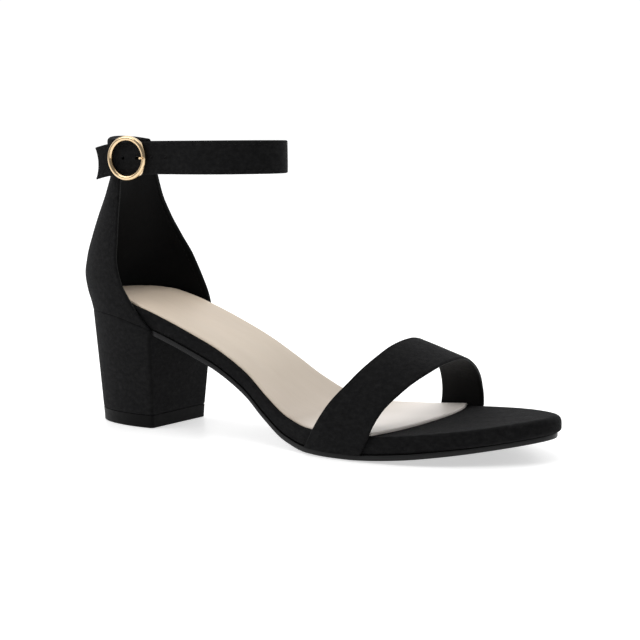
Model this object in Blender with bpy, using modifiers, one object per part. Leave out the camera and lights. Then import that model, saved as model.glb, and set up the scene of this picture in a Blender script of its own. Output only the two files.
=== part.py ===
"""Block heel sandal, right shoe, built piece by piece.

Frame: +X to the toe, +Y to the inner (medial) side of the foot, +Z up.
Origin: the middle of the heel's floor face. Metres.
"""
import math

import bmesh
import bpy
from mathutils import Matrix, Vector

MM = 0.001

# Overall sizes
FOOTBED_LENGTH = 231.1 * MM
HEEL_END_X = -22.6 * MM
BALL_WIDTH = 84.6 * MM
SEAT_WIDTH = 48.0 * MM
SEAT_HEIGHT = 60.0 * MM
TOE_SPRING = 8.8 * MM
FIT_GAP = 0.3 * MM

# Sole layers
OUTSOLE_THICKNESS = 2.2 * MM
FOOTBED_THICKNESS = 7.4 * MM
FOOTBED_EDGE = 1.5 * MM
TOE_EDGE = 3.4 * MM
SEAT_TUCK = 2.8 * MM
INSOLE_THICKNESS = 1.1 * MM
INSOLE_INSET = 1.9 * MM
INSOLE_EDGE = 0.35 * MM
INSOLE_FRONT_X = 147.5 * MM
INSOLE_FRONT_SLANT = 6.0 * MM
INSOLE_FRONT_CROWN = 7.0 * MM
OUTSOLE_MARGIN = 0.5 * MM
OUTSOLE_EDGE = 0.5 * MM
OUTSOLE_TOE_SET_BACK = 1.6 * MM

# Heel
HEEL_BASE_DEPTH = 40.5 * MM
HEEL_BASE_WIDTH = 37.0 * MM
BREAST_LEAN = 2.7 * MM
BREAST_SKEW = 1.9 * MM
BREAST_RADIUS = 2.5 * MM
TOP_PIECE_HEIGHT = 6.0 * MM
HEEL_EDGE = 0.35 * MM

# Counter, the closed heel quarter
COUNTER_WALL = 1.8 * MM
COUNTER_WIDTH = 54.8 * MM
COUNTER_BULGE = 23.4 * MM
TUNNEL_SKIN = 0.9 * MM
TUNNEL_LEAN = 3.5 * MM

# Ankle strap
STRAP_WIDTH = 14.4 * MM
STRAP_THICKNESS = 1.5 * MM
STRAP_SKIVED = 0.9 * MM
STRAP_HEIGHT = 122.9 * MM
LOOP_FRONT_X = 78.0 * MM
LOOP_HALF_WIDTH = 22.8 * MM
TAIL_LENGTH = 19.8 * MM
TAIL_DROOP = 2.5 * MM
TAIL_CURL = 3.0 * MM
TAIL_NOTCH_RADIUS = 14.0 * MM
TAIL_NOTCH_DEPTH = 1.8 * MM
FOLD_LENGTH = 7.5 * MM
LAYERS_PART = 10.0 * MM
LAYERS_JOIN = 34.0 * MM

# Toe band
BAND_WALL = 1.6 * MM
BAND_RISE_REAR = 36.0 * MM
BAND_RISE_FRONT = 26.6 * MM
BAND_FLATTENING = 0.15
BAND_OUTER_SWELL = 1.8 * MM
BAND_INNER_DROP = 2.2 * MM

# Buckle
BUCKLE_X = 12.6 * MM
BUCKLE_TURN_DEG = 4.0
RING_DIAMETER = 19.8 * MM
RING_WIDTH = 2.2 * MM
RING_DEPTH = 2.6 * MM
BAR_DIAMETER = 1.6 * MM
BAR_BEND = 1.3 * MM
PRONG_DIAMETER = 1.2 * MM
PRONG_REACH = 9.2 * MM
HOLE_OFFSET = 4.0 * MM
HOLE_LENGTH = 4.4 * MM
HOLE_WIDTH = 2.0 * MM
HOLE_PITCH = 7.3 * MM
SPARE_HOLE_DIAMETER = 1.6 * MM

# Sections of the footbed from heel to toe, as shares: along = of the footbed's length,
# outer and inner = half widths of the local width, rise = of the seat's height,
# thick = of the footbed's thickness.
FOOTBED_ROWS = [
    dict(along=0.000, outer=0.000, inner=0.000, rise=1.000, thick=1.00),
    dict(along=0.010, outer=0.172, inner=0.172, rise=1.000, thick=1.00),
    dict(along=0.032, outer=0.300, inner=0.300, rise=1.002, thick=1.00),
    dict(along=0.066, outer=0.405, inner=0.405, rise=1.000, thick=1.00),
    dict(along=0.109, outer=0.470, inner=0.470, rise=0.985, thick=1.00),
    dict(along=0.160, outer=0.500, inner=0.500, rise=0.935, thick=0.97),
    dict(along=0.215, outer=0.502, inner=0.502, rise=0.862, thick=0.92),
    dict(along=0.280, outer=0.502, inner=0.502, rise=0.760, thick=0.88),
    dict(along=0.345, outer=0.405, inner=0.405, rise=0.645, thick=0.88),
    dict(along=0.409, outer=0.319, inner=0.319, rise=0.497, thick=0.92),
    dict(along=0.460, outer=0.329, inner=0.329, rise=0.352, thick=0.97),
    dict(along=0.516, outer=0.375, inner=0.385, rise=0.225, thick=1.00),
    dict(along=0.572, outer=0.422, inner=0.447, rise=0.172, thick=1.00),
    dict(along=0.623, outer=0.449, inner=0.497, rise=0.165, thick=1.00),
    dict(along=0.675, outer=0.458, inner=0.528, rise=0.165, thick=1.00),
    dict(along=0.722, outer=0.462, inner=0.530, rise=0.165, thick=1.00),
    dict(along=0.773, outer=0.446, inner=0.503, rise=0.165, thick=1.00),
    dict(along=0.824, outer=0.410, inner=0.445, rise=0.165, thick=0.98),
    dict(along=0.872, outer=0.356, inner=0.372, rise=0.165, thick=0.97),
    dict(along=0.914, outer=0.290, inner=0.290, rise=0.165, thick=0.96),
    dict(along=0.949, outer=0.221, inner=0.211, rise=0.165, thick=0.95),
    dict(along=0.976, outer=0.153, inner=0.135, rise=0.165, thick=0.94),
    dict(along=0.993, outer=0.086, inner=0.064, rise=0.165, thick=0.94),
    dict(along=1.000, outer=0.012, inner=-0.012, rise=0.165, thick=0.94),
]
WAIST_START = 0.28
WAIST_END = 0.46
SPRING_START = 0.665
SPRING_POWER = 1.35

# Levels of the counter, bottom to strap, as shares: level = of the height from seat to strap,
# half = of the counter's width, back = of its bulge behind the heel's middle,
# centre = of the bulge, outer_front and inner_front = of the footbed's length.
COUNTER_ROWS = [
    dict(level=0.00, half=0.478, back=0.987, centre=0.66, outer_front=0.0996, inner_front=0.105),
    dict(level=0.07, half=0.484, back=1.043, centre=0.66, outer_front=0.0734, inner_front=0.097),
    dict(level=0.15, half=0.491, back=1.120, centre=0.66, outer_front=0.0550, inner_front=0.090),
    dict(level=0.26, half=0.498, back=1.165, centre=0.62, outer_front=0.0344, inner_front=0.074),
    dict(level=0.40, half=0.500, back=1.085, centre=0.54, outer_front=0.0253, inner_front=0.052),
    dict(level=0.55, half=0.474, back=0.940, centre=0.45, outer_front=0.0240, inner_front=0.027),
    dict(level=0.70, half=0.431, back=0.775, centre=0.33, outer_front=0.0204, inner_front=0.009),
    dict(level=0.85, half=0.374, back=0.605, centre=0.24, outer_front=0.0150, inner_front=0.000),
    dict(level=1.00, half=0.323, back=0.458, centre=0.16, outer_front=0.0103, inner_front=-0.003),
]

# Plan of the ankle loop in front of the counter, as shares: along = from the loop's back to
# its front, half = of the loop's half width.
LOOP_ROWS = [
    dict(along=0.165, half=0.770),
    dict(along=0.220, half=0.822),
    dict(along=0.275, half=0.843),
    dict(along=0.350, half=0.868),
    dict(along=0.450, half=0.940),
    dict(along=0.560, half=0.990),
    dict(along=0.660, half=0.985),
    dict(along=0.770, half=0.900),
    dict(along=0.870, half=0.715),
    dict(along=0.950, half=0.450),
    dict(along=0.990, half=0.190),
    dict(along=1.000, half=0.000),
]
LOOP_WRAP_DEG = 75.0

# Edges of the toe band over the foot: turn = from the outer foot (0) to the inner foot (1),
# rear and front = places along the footbed as shares of its length.
BAND_ROWS = [
    dict(turn=0.00, rear=0.587, front=0.710),
    dict(turn=0.10, rear=0.620, front=0.734),
    dict(turn=0.20, rear=0.656, front=0.762),
    dict(turn=0.35, rear=0.688, front=0.791),
    dict(turn=0.50, rear=0.697, front=0.798),
    dict(turn=0.65, rear=0.694, front=0.789),
    dict(turn=0.80, rear=0.686, front=0.778),
    dict(turn=0.90, rear=0.680, front=0.771),
    dict(turn=1.00, rear=0.673, front=0.769),
]
BAND_FOOT_SWEEP = 4.0 * MM


def clamp(value, low=0.0, high=1.0):
    return max(low, min(high, value))


def smoothstep(low, high, value):
    t = clamp((value - low) / (high - low))
    return t * t * (3 - 2 * t)


def hermite(xs, ys, x):
    """Value at x of a monotone cubic through the points (xs, ys)."""
    x = clamp(x, xs[0], xs[-1])
    last = len(xs) - 2
    k = 0
    while k < last and x > xs[k + 1]:
        k += 1

    def slope(i):
        if i == 0 or i == len(xs) - 1:
            j = min(max(i, 1), len(xs) - 1)
            return (ys[j] - ys[j - 1]) / (xs[j] - xs[j - 1])
        before = (ys[i] - ys[i - 1]) / (xs[i] - xs[i - 1])
        after = (ys[i + 1] - ys[i]) / (xs[i + 1] - xs[i])
        if before * after <= 0:
            return 0.0
        return 2 * before * after / (before + after)

    h = xs[k + 1] - xs[k]
    t = (x - xs[k]) / h
    return ((2 * t ** 3 - 3 * t ** 2 + 1) * ys[k] + (t ** 3 - 2 * t ** 2 + t) * h * slope(k)
            + (-2 * t ** 3 + 3 * t ** 2) * ys[k + 1] + (t ** 3 - t ** 2) * h * slope(k + 1))


def column(rows, key, name, value):
    """Interpolated value of one column of a table at value of its first column."""
    return hermite([row[key] for row in rows], [row[name] for row in rows], value)


def catmull(points, per_span):
    """Points of a smooth curve through 2D points, per_span to each span."""
    result = []
    ends = len(points) - 1
    for k in range(ends):
        p0 = points[max(k - 1, 0)]
        p1 = points[k]
        p2 = points[k + 1]
        p3 = points[min(k + 2, ends)]
        for step in range(per_span):
            t = step / per_span
            result.append(0.5 * (2 * p1 + (p2 - p0) * t + (2 * p0 - 5 * p1 + 4 * p2 - p3) * t ** 2
                                 + (3 * p1 - p0 - 3 * p2 + p3) * t ** 3))
    result.append(points[-1].copy())
    return result


def local_width(along):
    return SEAT_WIDTH + (BALL_WIDTH - SEAT_WIDTH) * smoothstep(WAIST_START, WAIST_END, along)


def along_of(x):
    return (x - HEEL_END_X) / FOOTBED_LENGTH


def x_of(along):
    return HEEL_END_X + along * FOOTBED_LENGTH


def outer_half(x):
    """Half width of the footbed on the outer side, at x."""
    along = along_of(x)
    return column(FOOTBED_ROWS, "along", "outer", along) * local_width(along)


def inner_half(x):
    along = along_of(x)
    return column(FOOTBED_ROWS, "along", "inner", along) * local_width(along)


def forefoot_height():
    return OUTSOLE_THICKNESS + FIT_GAP + FOOTBED_THICKNESS


def footbed_top(x):
    """Height of the footbed's upper face along the shoe."""
    along = along_of(x)
    low = FOOTBED_ROWS[-1]["rise"]
    share = (column(FOOTBED_ROWS, "along", "rise", along) - low) / (1 - low)
    spring = clamp((along - SPRING_START) / (1 - SPRING_START)) ** SPRING_POWER
    return forefoot_height() + share * (SEAT_HEIGHT - forefoot_height()) + spring * TOE_SPRING


def footbed_thickness(x):
    return column(FOOTBED_ROWS, "along", "thick", along_of(x)) * FOOTBED_THICKNESS


def footbed_bottom(x):
    return footbed_top(x) - footbed_thickness(x)


def footbed_pairs(per_span):
    """Points of the footbed's outline, as (outer, inner) pairs from heel to toe."""
    outer = []
    inner = []
    for row in FOOTBED_ROWS:
        width = local_width(row["along"])
        outer.append(Vector((x_of(row["along"]), -row["outer"] * width)))
        inner.append(Vector((x_of(row["along"]), row["inner"] * width)))
    # the neighbour across the heel and the toe rounds both ends
    heel_lead = [inner[1]]
    toe_lead = [inner[-2]]
    outer_curve = catmull(heel_lead + outer + toe_lead, per_span)[per_span:-per_span]
    heel_lead = [outer[1]]
    toe_lead = [outer[-2]]
    inner_curve = catmull(heel_lead + inner + toe_lead, per_span)[per_span:-per_span]
    return list(zip(outer_curve, inner_curve))


def trim_front(pairs, outer_x, inner_x, crown, steps):
    """Cut the pairs at a front line, bowed by crown, that ends in a point at its middle."""
    kept = [pair for pair in pairs if pair[0].x < outer_x and pair[1].x < inner_x]
    corner_outer = edge_point(pairs, 0, outer_x)
    corner_inner = edge_point(pairs, 1, inner_x)
    middle = (corner_outer + corner_inner) / 2
    for step in range(steps + 1):
        share = step / steps
        bow = Vector((crown * (1 - (1 - share) ** 2.5), 0))
        kept.append((corner_outer.lerp(middle, share) + bow, corner_inner.lerp(middle, share) + bow))
    return kept


def trim_rear(pairs, outer_x, inner_x):
    """Cut the pairs at a straight rear line."""
    kept = [pair for pair in pairs if pair[0].x > outer_x and pair[1].x > inner_x]
    return [(edge_point(pairs, 0, outer_x), edge_point(pairs, 1, inner_x))] + kept


def edge_point(pairs, side, x):
    """Point of one side's outline at x."""
    for before, after in zip(pairs, pairs[1:]):
        a = before[side]
        b = after[side]
        if a.x <= x <= b.x:
            return a.lerp(b, (x - a.x) / max(b.x - a.x, 1e-9))
    return pairs[-1][side].copy()


def is_point(pair):
    return (pair[0] - pair[1]).length < 1e-7


def loop_of(pairs, columns):
    """Closed counter-clockwise loop of pairs; a flat end is split into columns."""
    outer = [pair[0] for pair in pairs]
    inner = [pair[1] for pair in pairs][::-1]
    front = []
    rear = []
    if is_point(pairs[-1]):
        inner = inner[1:]
    else:
        front = [outer[-1].lerp(inner[0], k / columns) for k in range(1, columns)]
    if is_point(pairs[0]):
        inner = inner[:-1]
    else:
        rear = [inner[-1].lerp(outer[0], k / columns) for k in range(1, columns)]
    return outer + front + inner + rear


def inset_loop(loop, amounts):
    """Each point of a counter-clockwise loop moved inwards by its own amount."""
    moved = []
    count = len(loop)
    for k, point in enumerate(loop):
        tangent = (loop[(k + 1) % count] - loop[k - 1]).normalized()
        inward = Vector((-tangent.y, tangent.x))
        moved.append(point + inward * amounts[k])
    return moved


def make_material(name, color, roughness, metallic=0.0):
    material = bpy.data.materials.new(name)
    material.use_nodes = True
    shader = material.node_tree.nodes["Principled BSDF"]
    shader.inputs["Base Color"].default_value = (*color, 1.0)
    shader.inputs["Roughness"].default_value = roughness
    shader.inputs["Metallic"].default_value = metallic
    return material


def make_collection(name):
    collection = bpy.data.collections.new(name)
    bpy.context.scene.collection.children.link(collection)
    return collection


def mesh_object(name, bm, material, collection, sharp_deg=40):
    """Finish a bmesh as a named, smooth-shaded object."""
    bmesh.ops.remove_doubles(bm, verts=bm.verts, dist=1e-6)
    bmesh.ops.recalc_face_normals(bm, faces=bm.faces)
    mesh = bpy.data.meshes.new(name)
    bm.to_mesh(mesh)
    bm.free()
    mesh.materials.append(material)
    mesh.shade_smooth()
    mesh.set_sharp_from_angle(angle=math.radians(sharp_deg))
    piece = bpy.data.objects.new(name, mesh)
    collection.objects.link(piece)
    return piece


def bridge(bm, ring_a, ring_b):
    """Quads between two closed rings of equal length."""
    count = len(ring_a)
    for k in range(count):
        after = (k + 1) % count
        bm.faces.new((ring_a[k], ring_a[after], ring_b[after], ring_b[k]))


def fill_pairs(bm, ring, pairs, columns, height):
    """Cover a ring made by loop_of with quads that run from side to side."""
    count = len(pairs)
    front_extra = -1 if is_point(pairs[-1]) else columns - 1

    def across(k):
        if is_point(pairs[k]):
            return [ring[k]] * (columns + 1)
        if k == count - 1:
            return [ring[k + step] for step in range(columns + 1)]
        if k == 0:
            return [ring[-step] for step in range(columns + 1)]
        outer = ring[k]
        inner = ring[2 * count - 1 + front_extra - k]
        row = [outer]
        for step in range(1, columns):
            point = outer.co.lerp(inner.co, step / columns)
            point.z = height(point.x)
            row.append(bm.verts.new(point))
        row.append(inner)
        return row

    before = across(0)
    for k in range(1, count):
        after = across(k)
        for step in range(columns):
            corners = [before[step], after[step], after[step + 1], before[step + 1]]
            unique = []
            for vert in corners:
                if vert not in unique:
                    unique.append(vert)
            if len(unique) > 2:
                bm.faces.new(unique)
        before = after


def build_plate(name, pairs, layers, material, collection, columns=4):
    """A plate over the outline pairs. Each layer gives (inset, height) functions of a point."""
    bm = bmesh.new()
    loop = loop_of(pairs, columns)
    rings = []
    for inset, height in layers:
        points = inset_loop(loop, [inset(point) for point in loop])
        rings.append([bm.verts.new((p.x, p.y, height(p.x))) for p in points])
    for lower, upper in zip(rings, rings[1:]):
        bridge(bm, lower, upper)
    for ring, (inset, height) in ((rings[0], layers[0]), (rings[-1], layers[-1])):
        fill_pairs(bm, ring, pairs, columns, height)
    return mesh_object(name, bm, material, collection)


def constant(value):
    return lambda point: value


def seat_tuck(point):
    """Inset that pulls the footbed's lower edge in around the back of the heel."""
    return SEAT_TUCK * (1 - smoothstep(0.0, 0.13, along_of(point.x)))


def top_edge(x):
    """Radius of the footbed's upper edge, which grows towards the tip of the toe."""
    return FOOTBED_EDGE + (TOE_EDGE - FOOTBED_EDGE) * smoothstep(0.88, 1.0, along_of(x))


def top_edge_layer(turn_deg):
    """Layer of the footbed's rounded upper edge, from its side (0) to its top (90)."""
    turn = math.radians(turn_deg)
    return (lambda p: top_edge(p.x) * (1 - math.cos(turn)),
            lambda x: footbed_top(x) - top_edge(x) * (1 - math.sin(turn)))


def build_footbed(material, collection):
    edge = FOOTBED_EDGE
    layers = [
        (lambda p: edge + seat_tuck(p), footbed_bottom),
        (lambda p: 0.4 * edge + seat_tuck(p), lambda x: footbed_bottom(x) + 0.2 * edge),
        (lambda p: 0.75 * seat_tuck(p), lambda x: footbed_bottom(x) + edge),
    ]
    layers += [top_edge_layer(turn_deg) for turn_deg in (0, 30, 60, 90)]
    return build_plate("footbed", footbed_pairs(2), layers, material, collection)


def insole_front():
    """Places along the shoe where the insole ends, outer and inner."""
    return INSOLE_FRONT_X - INSOLE_FRONT_SLANT, INSOLE_FRONT_X


def build_insole(material, collection):
    edge = INSOLE_EDGE
    outer_x, inner_x = insole_front()
    base = footbed_pairs(2)
    loop = loop_of(base, 1)
    loop = inset_loop(loop, [INSOLE_INSET] * len(loop))
    half = len(base)
    inset_pairs = [(loop[0], loop[0])]
    for k in range(1, half - 1):
        inset_pairs.append((loop[k], loop[len(loop) - k]))
    inset_pairs.append((loop[half - 1], loop[half - 1]))
    pairs = trim_front(inset_pairs, outer_x, inner_x, INSOLE_FRONT_CROWN, 4)
    layers = [
        (constant(edge), lambda x: footbed_top(x) + FIT_GAP),
        (constant(0.0), lambda x: footbed_top(x) + FIT_GAP + edge),
        (constant(0.0), lambda x: footbed_top(x) + FIT_GAP + INSOLE_THICKNESS - edge),
        (constant(edge), lambda x: footbed_top(x) + FIT_GAP + INSOLE_THICKNESS),
    ]
    return build_plate("insole", pairs, layers, material, collection)


def outsole_top(x):
    return footbed_bottom(x) - FIT_GAP


def breast_x(level, y_share=0.0):
    """Place of the heel's front face: level from floor (0) to seat (1)."""
    return HEEL_BASE_DEPTH / 2 + BREAST_LEAN * level + BREAST_SKEW * (1 - level) * y_share


def build_outsole(material, collection):
    """The thin outsole, from the heel's front face to the toe."""
    edge = OUTSOLE_EDGE
    rear_x = breast_x(1.0) + FIT_GAP
    pairs = trim_rear(footbed_pairs(2), rear_x, rear_x)

    def margin(extra):
        def inset(point):
            at_toe = smoothstep(0.80, 0.97, along_of(point.x))
            at_rear = 1 - smoothstep(0.0, 2.0 * MM, point.x - rear_x)
            side = -OUTSOLE_MARGIN * (1 - at_toe) + OUTSOLE_TOE_SET_BACK * at_toe
            return (side + extra) * (1 - at_rear)
        return inset

    layers = [
        (margin(edge), lambda x: outsole_top(x) - OUTSOLE_THICKNESS),
        (margin(0.0), lambda x: outsole_top(x) - OUTSOLE_THICKNESS + edge),
        (margin(0.0), lambda x: outsole_top(x) - edge),
        (margin(edge), outsole_top),
    ]
    return build_plate("outsole", pairs, layers, material, collection)


def counter_section(level):
    """Plan of the counter at a level: half width, back, centre and the two front ends."""
    half = column(COUNTER_ROWS, "level", "half", level) * COUNTER_WIDTH
    back = -column(COUNTER_ROWS, "level", "back", level) * COUNTER_BULGE
    centre = column(COUNTER_ROWS, "level", "centre", level) * COUNTER_BULGE
    outer_front = column(COUNTER_ROWS, "level", "outer_front", level) * FOOTBED_LENGTH
    inner_front = column(COUNTER_ROWS, "level", "inner_front", level) * FOOTBED_LENGTH
    return half, back, centre, outer_front, inner_front


def u_curve(half, back, centre, outer_front, inner_front, inset, count):
    """Points along a U in plan, from the outer front end round the back to the inner one."""
    reach = centre - back - inset
    side = half - inset

    def arm(front):
        if front >= centre:
            return math.pi / 2, front - centre
        return math.acos(clamp((centre - front) / reach, -1, 1)), 0.0

    outer_angle, outer_straight = arm(outer_front)
    inner_angle, inner_straight = arm(inner_front)
    radius = (reach + side) / 2
    total_outer = outer_angle * radius + outer_straight
    total_inner = inner_angle * radius + inner_straight
    points = []
    for k in range(count + 1):
        share = 2 * k / count - 1
        run = abs(share) * (total_outer if share < 0 else total_inner)
        angle_limit = outer_angle if share < 0 else inner_angle
        angle = min(run / radius, angle_limit)
        straight = run - angle * radius if run / radius > angle_limit else 0.0
        sign = -1 if share < 0 else 1
        points.append(Vector((centre - reach * math.cos(angle) + straight,
                              sign * side * math.sin(angle))))
    return points


def strap_low():
    return STRAP_HEIGHT - STRAP_WIDTH / 2


def strap_high():
    return STRAP_HEIGHT + STRAP_WIDTH / 2


def counter_z(level, x):
    """Height of a counter level: the lowest follows the footbed's underside."""
    low = footbed_bottom(x)
    high = strap_low() - FIT_GAP - TUNNEL_SKIN
    return low + level * (high - low)


def build_counter(material, collection):
    """The heel quarter: a bent wall whose top is a tunnel for the ankle strap."""
    count = 28
    levels = [0.0, 0.07, 0.15, 0.26, 0.40, 0.55, 0.70, 0.85, 1.0]
    section = counter_section(1.0)
    half_skin = (STRAP_THICKNESS / 2 + FIT_GAP + TUNNEL_SKIN)
    middle = COUNTER_WALL / 2
    bm = bmesh.new()
    outer_rows = []
    inner_rows = []
    for level in levels:
        plan = counter_section(level)
        outer_rows.append([(p, counter_z(level, p.x)) for p in u_curve(*plan, 0.0, count)])
        inner_rows.append([(p, counter_z(level, p.x)) for p in u_curve(*plan, COUNTER_WALL, count)])

    def ring_at(offset, height, lean=0.0):
        plan = (*section[:3], section[3] - lean, section[4] - lean)
        return [(p, height(k)) for k, p in enumerate(u_curve(*plan, middle - offset, count))]

    def crest(k):
        """The tunnel's top is highest at the back and drops to its two ends."""
        share = abs(2 * k / count - 1)
        return strap_high() + FIT_GAP + TUNNEL_SKIN * (1 + 1.6 * (1 - share ** 2))

    cavity = STRAP_THICKNESS / 2 + FIT_GAP
    low = strap_low() - FIT_GAP
    high = strap_high() + FIT_GAP
    lean = TUNNEL_LEAN
    shell = [
        ring_at(half_skin, lambda k: low + 0.8 * MM),
        ring_at(half_skin, lambda k: high, lean),
        ring_at(0.45 * half_skin, crest, lean),
        ring_at(-0.45 * half_skin, crest, lean),
        ring_at(-half_skin, lambda k: high, lean),
        ring_at(-half_skin, lambda k: low + 0.8 * MM),
    ]
    hollow = [
        ring_at(cavity, lambda k: low),
        ring_at(cavity, lambda k: high, lean),
        ring_at(-cavity, lambda k: high, lean),
        ring_at(-cavity, lambda k: low),
    ]
    skin = outer_rows + shell + inner_rows[::-1]
    skin_verts = [[bm.verts.new((p.x, p.y, z)) for p, z in row] for row in skin]
    hollow_verts = [[bm.verts.new((p.x, p.y, z)) for p, z in row] for row in hollow]
    for rows in (skin_verts, hollow_verts):
        rows_closed = rows + [rows[0]]
        for row_a, row_b in zip(rows_closed, rows_closed[1:]):
            for k in range(count):
                bm.faces.new((row_a[k], row_a[k + 1], row_b[k + 1], row_b[k]))
    wall = len(levels)
    for end in (0, count):
        outside = [row[end] for row in skin_verts]
        inside = [row[end] for row in hollow_verts]
        for k in range(wall - 1):
            bm.faces.new((outside[k], outside[k + 1], outside[-2 - k], outside[-1 - k]))
        top = wall - 1
        bm.faces.new((outside[top], outside[top + 1], inside[0], inside[3], outside[top + 6],
                      outside[top + 7]))
        bm.faces.new((outside[top + 1], outside[top + 2], inside[1], inside[0]))
        bm.faces.new((outside[top + 2], outside[top + 3], outside[top + 4], outside[top + 5],
                      inside[2], inside[1]))
        bm.faces.new((outside[top + 5], outside[top + 6], inside[3], inside[2]))
    return mesh_object("counter", bm, material, collection)


def heel_plan(level, inset, steps=9):
    """Pairs of the heel's D-shaped outline at a level, from the back to the front face."""
    half_top, back_top, centre, _, _ = counter_section(0.0)
    half = HEEL_BASE_WIDTH / 2 + (half_top - HEEL_BASE_WIDTH / 2) * level - inset
    back = -HEEL_BASE_DEPTH / 2 + (back_top + HEEL_BASE_DEPTH / 2) * level + inset
    reach = centre - back
    pairs = []
    for step in range(steps + 1):
        angle = math.pi / 2 * step / steps
        x = centre - reach * math.cos(angle)
        y = half * math.sin(angle)
        pairs.append((Vector((x, -y)), Vector((x, y))))
    front_outer = breast_x(level, -1) - inset
    front_inner = breast_x(level, 1) - inset
    for step in range(4):
        angle = math.pi / 2 * step / 3
        along = BREAST_RADIUS * (1 - math.sin(angle))
        side = BREAST_RADIUS * (1 - math.cos(angle))
        pairs.append((Vector((front_outer - along, -(half - side))),
                      Vector((front_inner - along, half - side))))
    return pairs


def build_block(name, floor, top, low_level, high_level, material, collection):
    """A block with the heel's outline; floor and top give heights, levels give its flare."""
    bm = bmesh.new()
    rings = []
    columns = 4
    shares = [0.0, 0.02, 0.25, 0.5, 0.75, 0.98, 1.0]
    for share in shares:
        level = low_level + (high_level - low_level) * share
        rounding = HEEL_EDGE if share in (0.0, 1.0) else 0.0
        loop = loop_of(heel_plan(level, rounding), columns)
        ring = []
        for p in loop:
            low = floor(p.x)
            ring.append(bm.verts.new((p.x, p.y, low + (top(p.x) - low) * share)))
        rings.append(ring)
    for lower, upper in zip(rings, rings[1:]):
        bridge(bm, lower, upper)
    pairs = heel_plan(low_level, 0.0)
    fill_pairs(bm, rings[0], pairs, columns, floor)
    fill_pairs(bm, rings[-1], pairs, columns, top)
    return mesh_object(name, bm, material, collection)


def build_heel(material, collection):
    low = TOP_PIECE_HEIGHT + FIT_GAP
    return build_block("heel_block", lambda x: low, lambda x: footbed_bottom(x) - FIT_GAP,
                       low / SEAT_HEIGHT, 1.0, material, collection)


def build_top_piece(material, collection):
    return build_block("top_piece", lambda x: 0.0, lambda x: TOP_PIECE_HEIGHT,
                       0.0, TOP_PIECE_HEIGHT / SEAT_HEIGHT, material, collection)


def band_point(turn, place):
    """Point of the toe band's outer face: turn over the foot, place from rear to front edge."""
    rear = x_of(column(BAND_ROWS, "turn", "rear", turn))
    front = x_of(column(BAND_ROWS, "turn", "front", turn))
    x = rear + (front - rear) * place
    stand_off = FIT_GAP + BAND_WALL
    outer_y = -(outer_half(x) + stand_off)
    inner_y = inner_half(x) + stand_off
    angle = math.pi * turn
    rise = BAND_RISE_REAR + (BAND_RISE_FRONT - BAND_RISE_REAR) * place
    arch = max(math.sin(angle), 0.0) ** (1 - BAND_FLATTENING * place)
    cosine = math.cos(angle)
    y = (outer_y + inner_y) / 2
    y -= (inner_y - outer_y) / 2 * cosine
    # the outer shoulder is fuller than an ellipse and the inner one flatter
    fullness = BAND_OUTER_SWELL if cosine > 0 else BAND_INNER_DROP
    shoulder = math.sin(2 * angle) * math.sqrt(abs(cosine))
    return Vector((x, y, footbed_top(x) + rise * arch + fullness * shoulder))


def band_foot(side, place, share):
    """Point of the band beside the footbed, share from its top (0) to the outsole (1)."""
    turn = 0.0 if side < 0 else 1.0
    top = band_point(turn, place)
    x = top.x - BAND_FOOT_SWEEP * share
    stand_off = FIT_GAP + BAND_WALL
    half = outer_half(x) if side < 0 else inner_half(x)
    low = outsole_top(x) + FIT_GAP
    return Vector((x, side * (half + stand_off), top.z + (low - top.z) * share))


def build_band(material, collection):
    """The toe band: one sheet from outsole to outsole over the toes, thickened inwards."""
    across = 6
    over = 30
    rows = [[band_foot(-1, k / across, share) for k in range(across + 1)] for share in (1.0, 0.5)]
    for step in range(over + 1):
        turn = step / over
        rows.append([band_point(turn, k / across) for k in range(across + 1)])
    rows += [[band_foot(1, k / across, share) for k in range(across + 1)] for share in (0.5, 1.0)]
    bm = bmesh.new()
    verts = [[bm.verts.new(p) for p in row] for row in rows]
    for row_a, row_b in zip(verts, verts[1:]):
        for k in range(across):
            bm.faces.new((row_a[k], row_b[k], row_b[k + 1], row_a[k + 1]))
    piece = mesh_object("vamp_band", bm, material, collection)
    solidify = piece.modifiers.new("wall", "SOLIDIFY")
    solidify.thickness = BAND_WALL
    solidify.offset = -1
    solidify.use_even_offset = True
    return piece


def loop_point_list():
    """Centre line of the strap's loop, from its front round the outer side and the back."""
    half, back, centre, _, _ = counter_section(1.0)
    back += COUNTER_WALL / 2
    half -= COUNTER_WALL / 2
    length = LOOP_FRONT_X - back
    outer = []
    for row in LOOP_ROWS:
        outer.append(Vector((back + row["along"] * length, -row["half"] * LOOP_HALF_WIDTH)))
    wrap = []
    steps = 8
    for step in range(2 * steps + 1):
        angle = math.radians(LOOP_WRAP_DEG) * (step / steps - 1)
        wrap.append(Vector((centre - (centre - back) * math.cos(angle), half * math.sin(angle))))
    inner = [Vector((p.x, -p.y)) for p in outer]
    return outer[::-1] + wrap + inner[:-1]


def closed_catmull(points, per_span):
    lead = [points[-1]] + points + [points[0], points[1]]
    return catmull(lead, per_span)[per_span:-per_span - 1]


def rounded_section(width, thickness):
    """Corner points of a strap's section, as (across, up), with small chamfers."""
    chamfer = 0.3 * thickness
    a = thickness / 2
    b = width / 2
    return [(a, -b + chamfer), (a, b - chamfer), (a - chamfer, b), (-a + chamfer, b),
            (-a, b - chamfer), (-a, -b + chamfer), (-a + chamfer, -b), (a - chamfer, -b)]


def buckle_frame_axes():
    """Middle of the strap at the buckle, the direction forward along it, and outward."""
    ring = closed_catmull(loop_point_list(), 4)
    middle = min((p for p in ring if p.y < 0), key=lambda p: abs(p.x - BUCKLE_X))
    turn = math.radians(BUCKLE_TURN_DEG)
    forward = Vector((math.cos(turn), math.sin(turn)))
    return middle.copy(), forward, Vector((forward.y, -forward.x))


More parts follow.
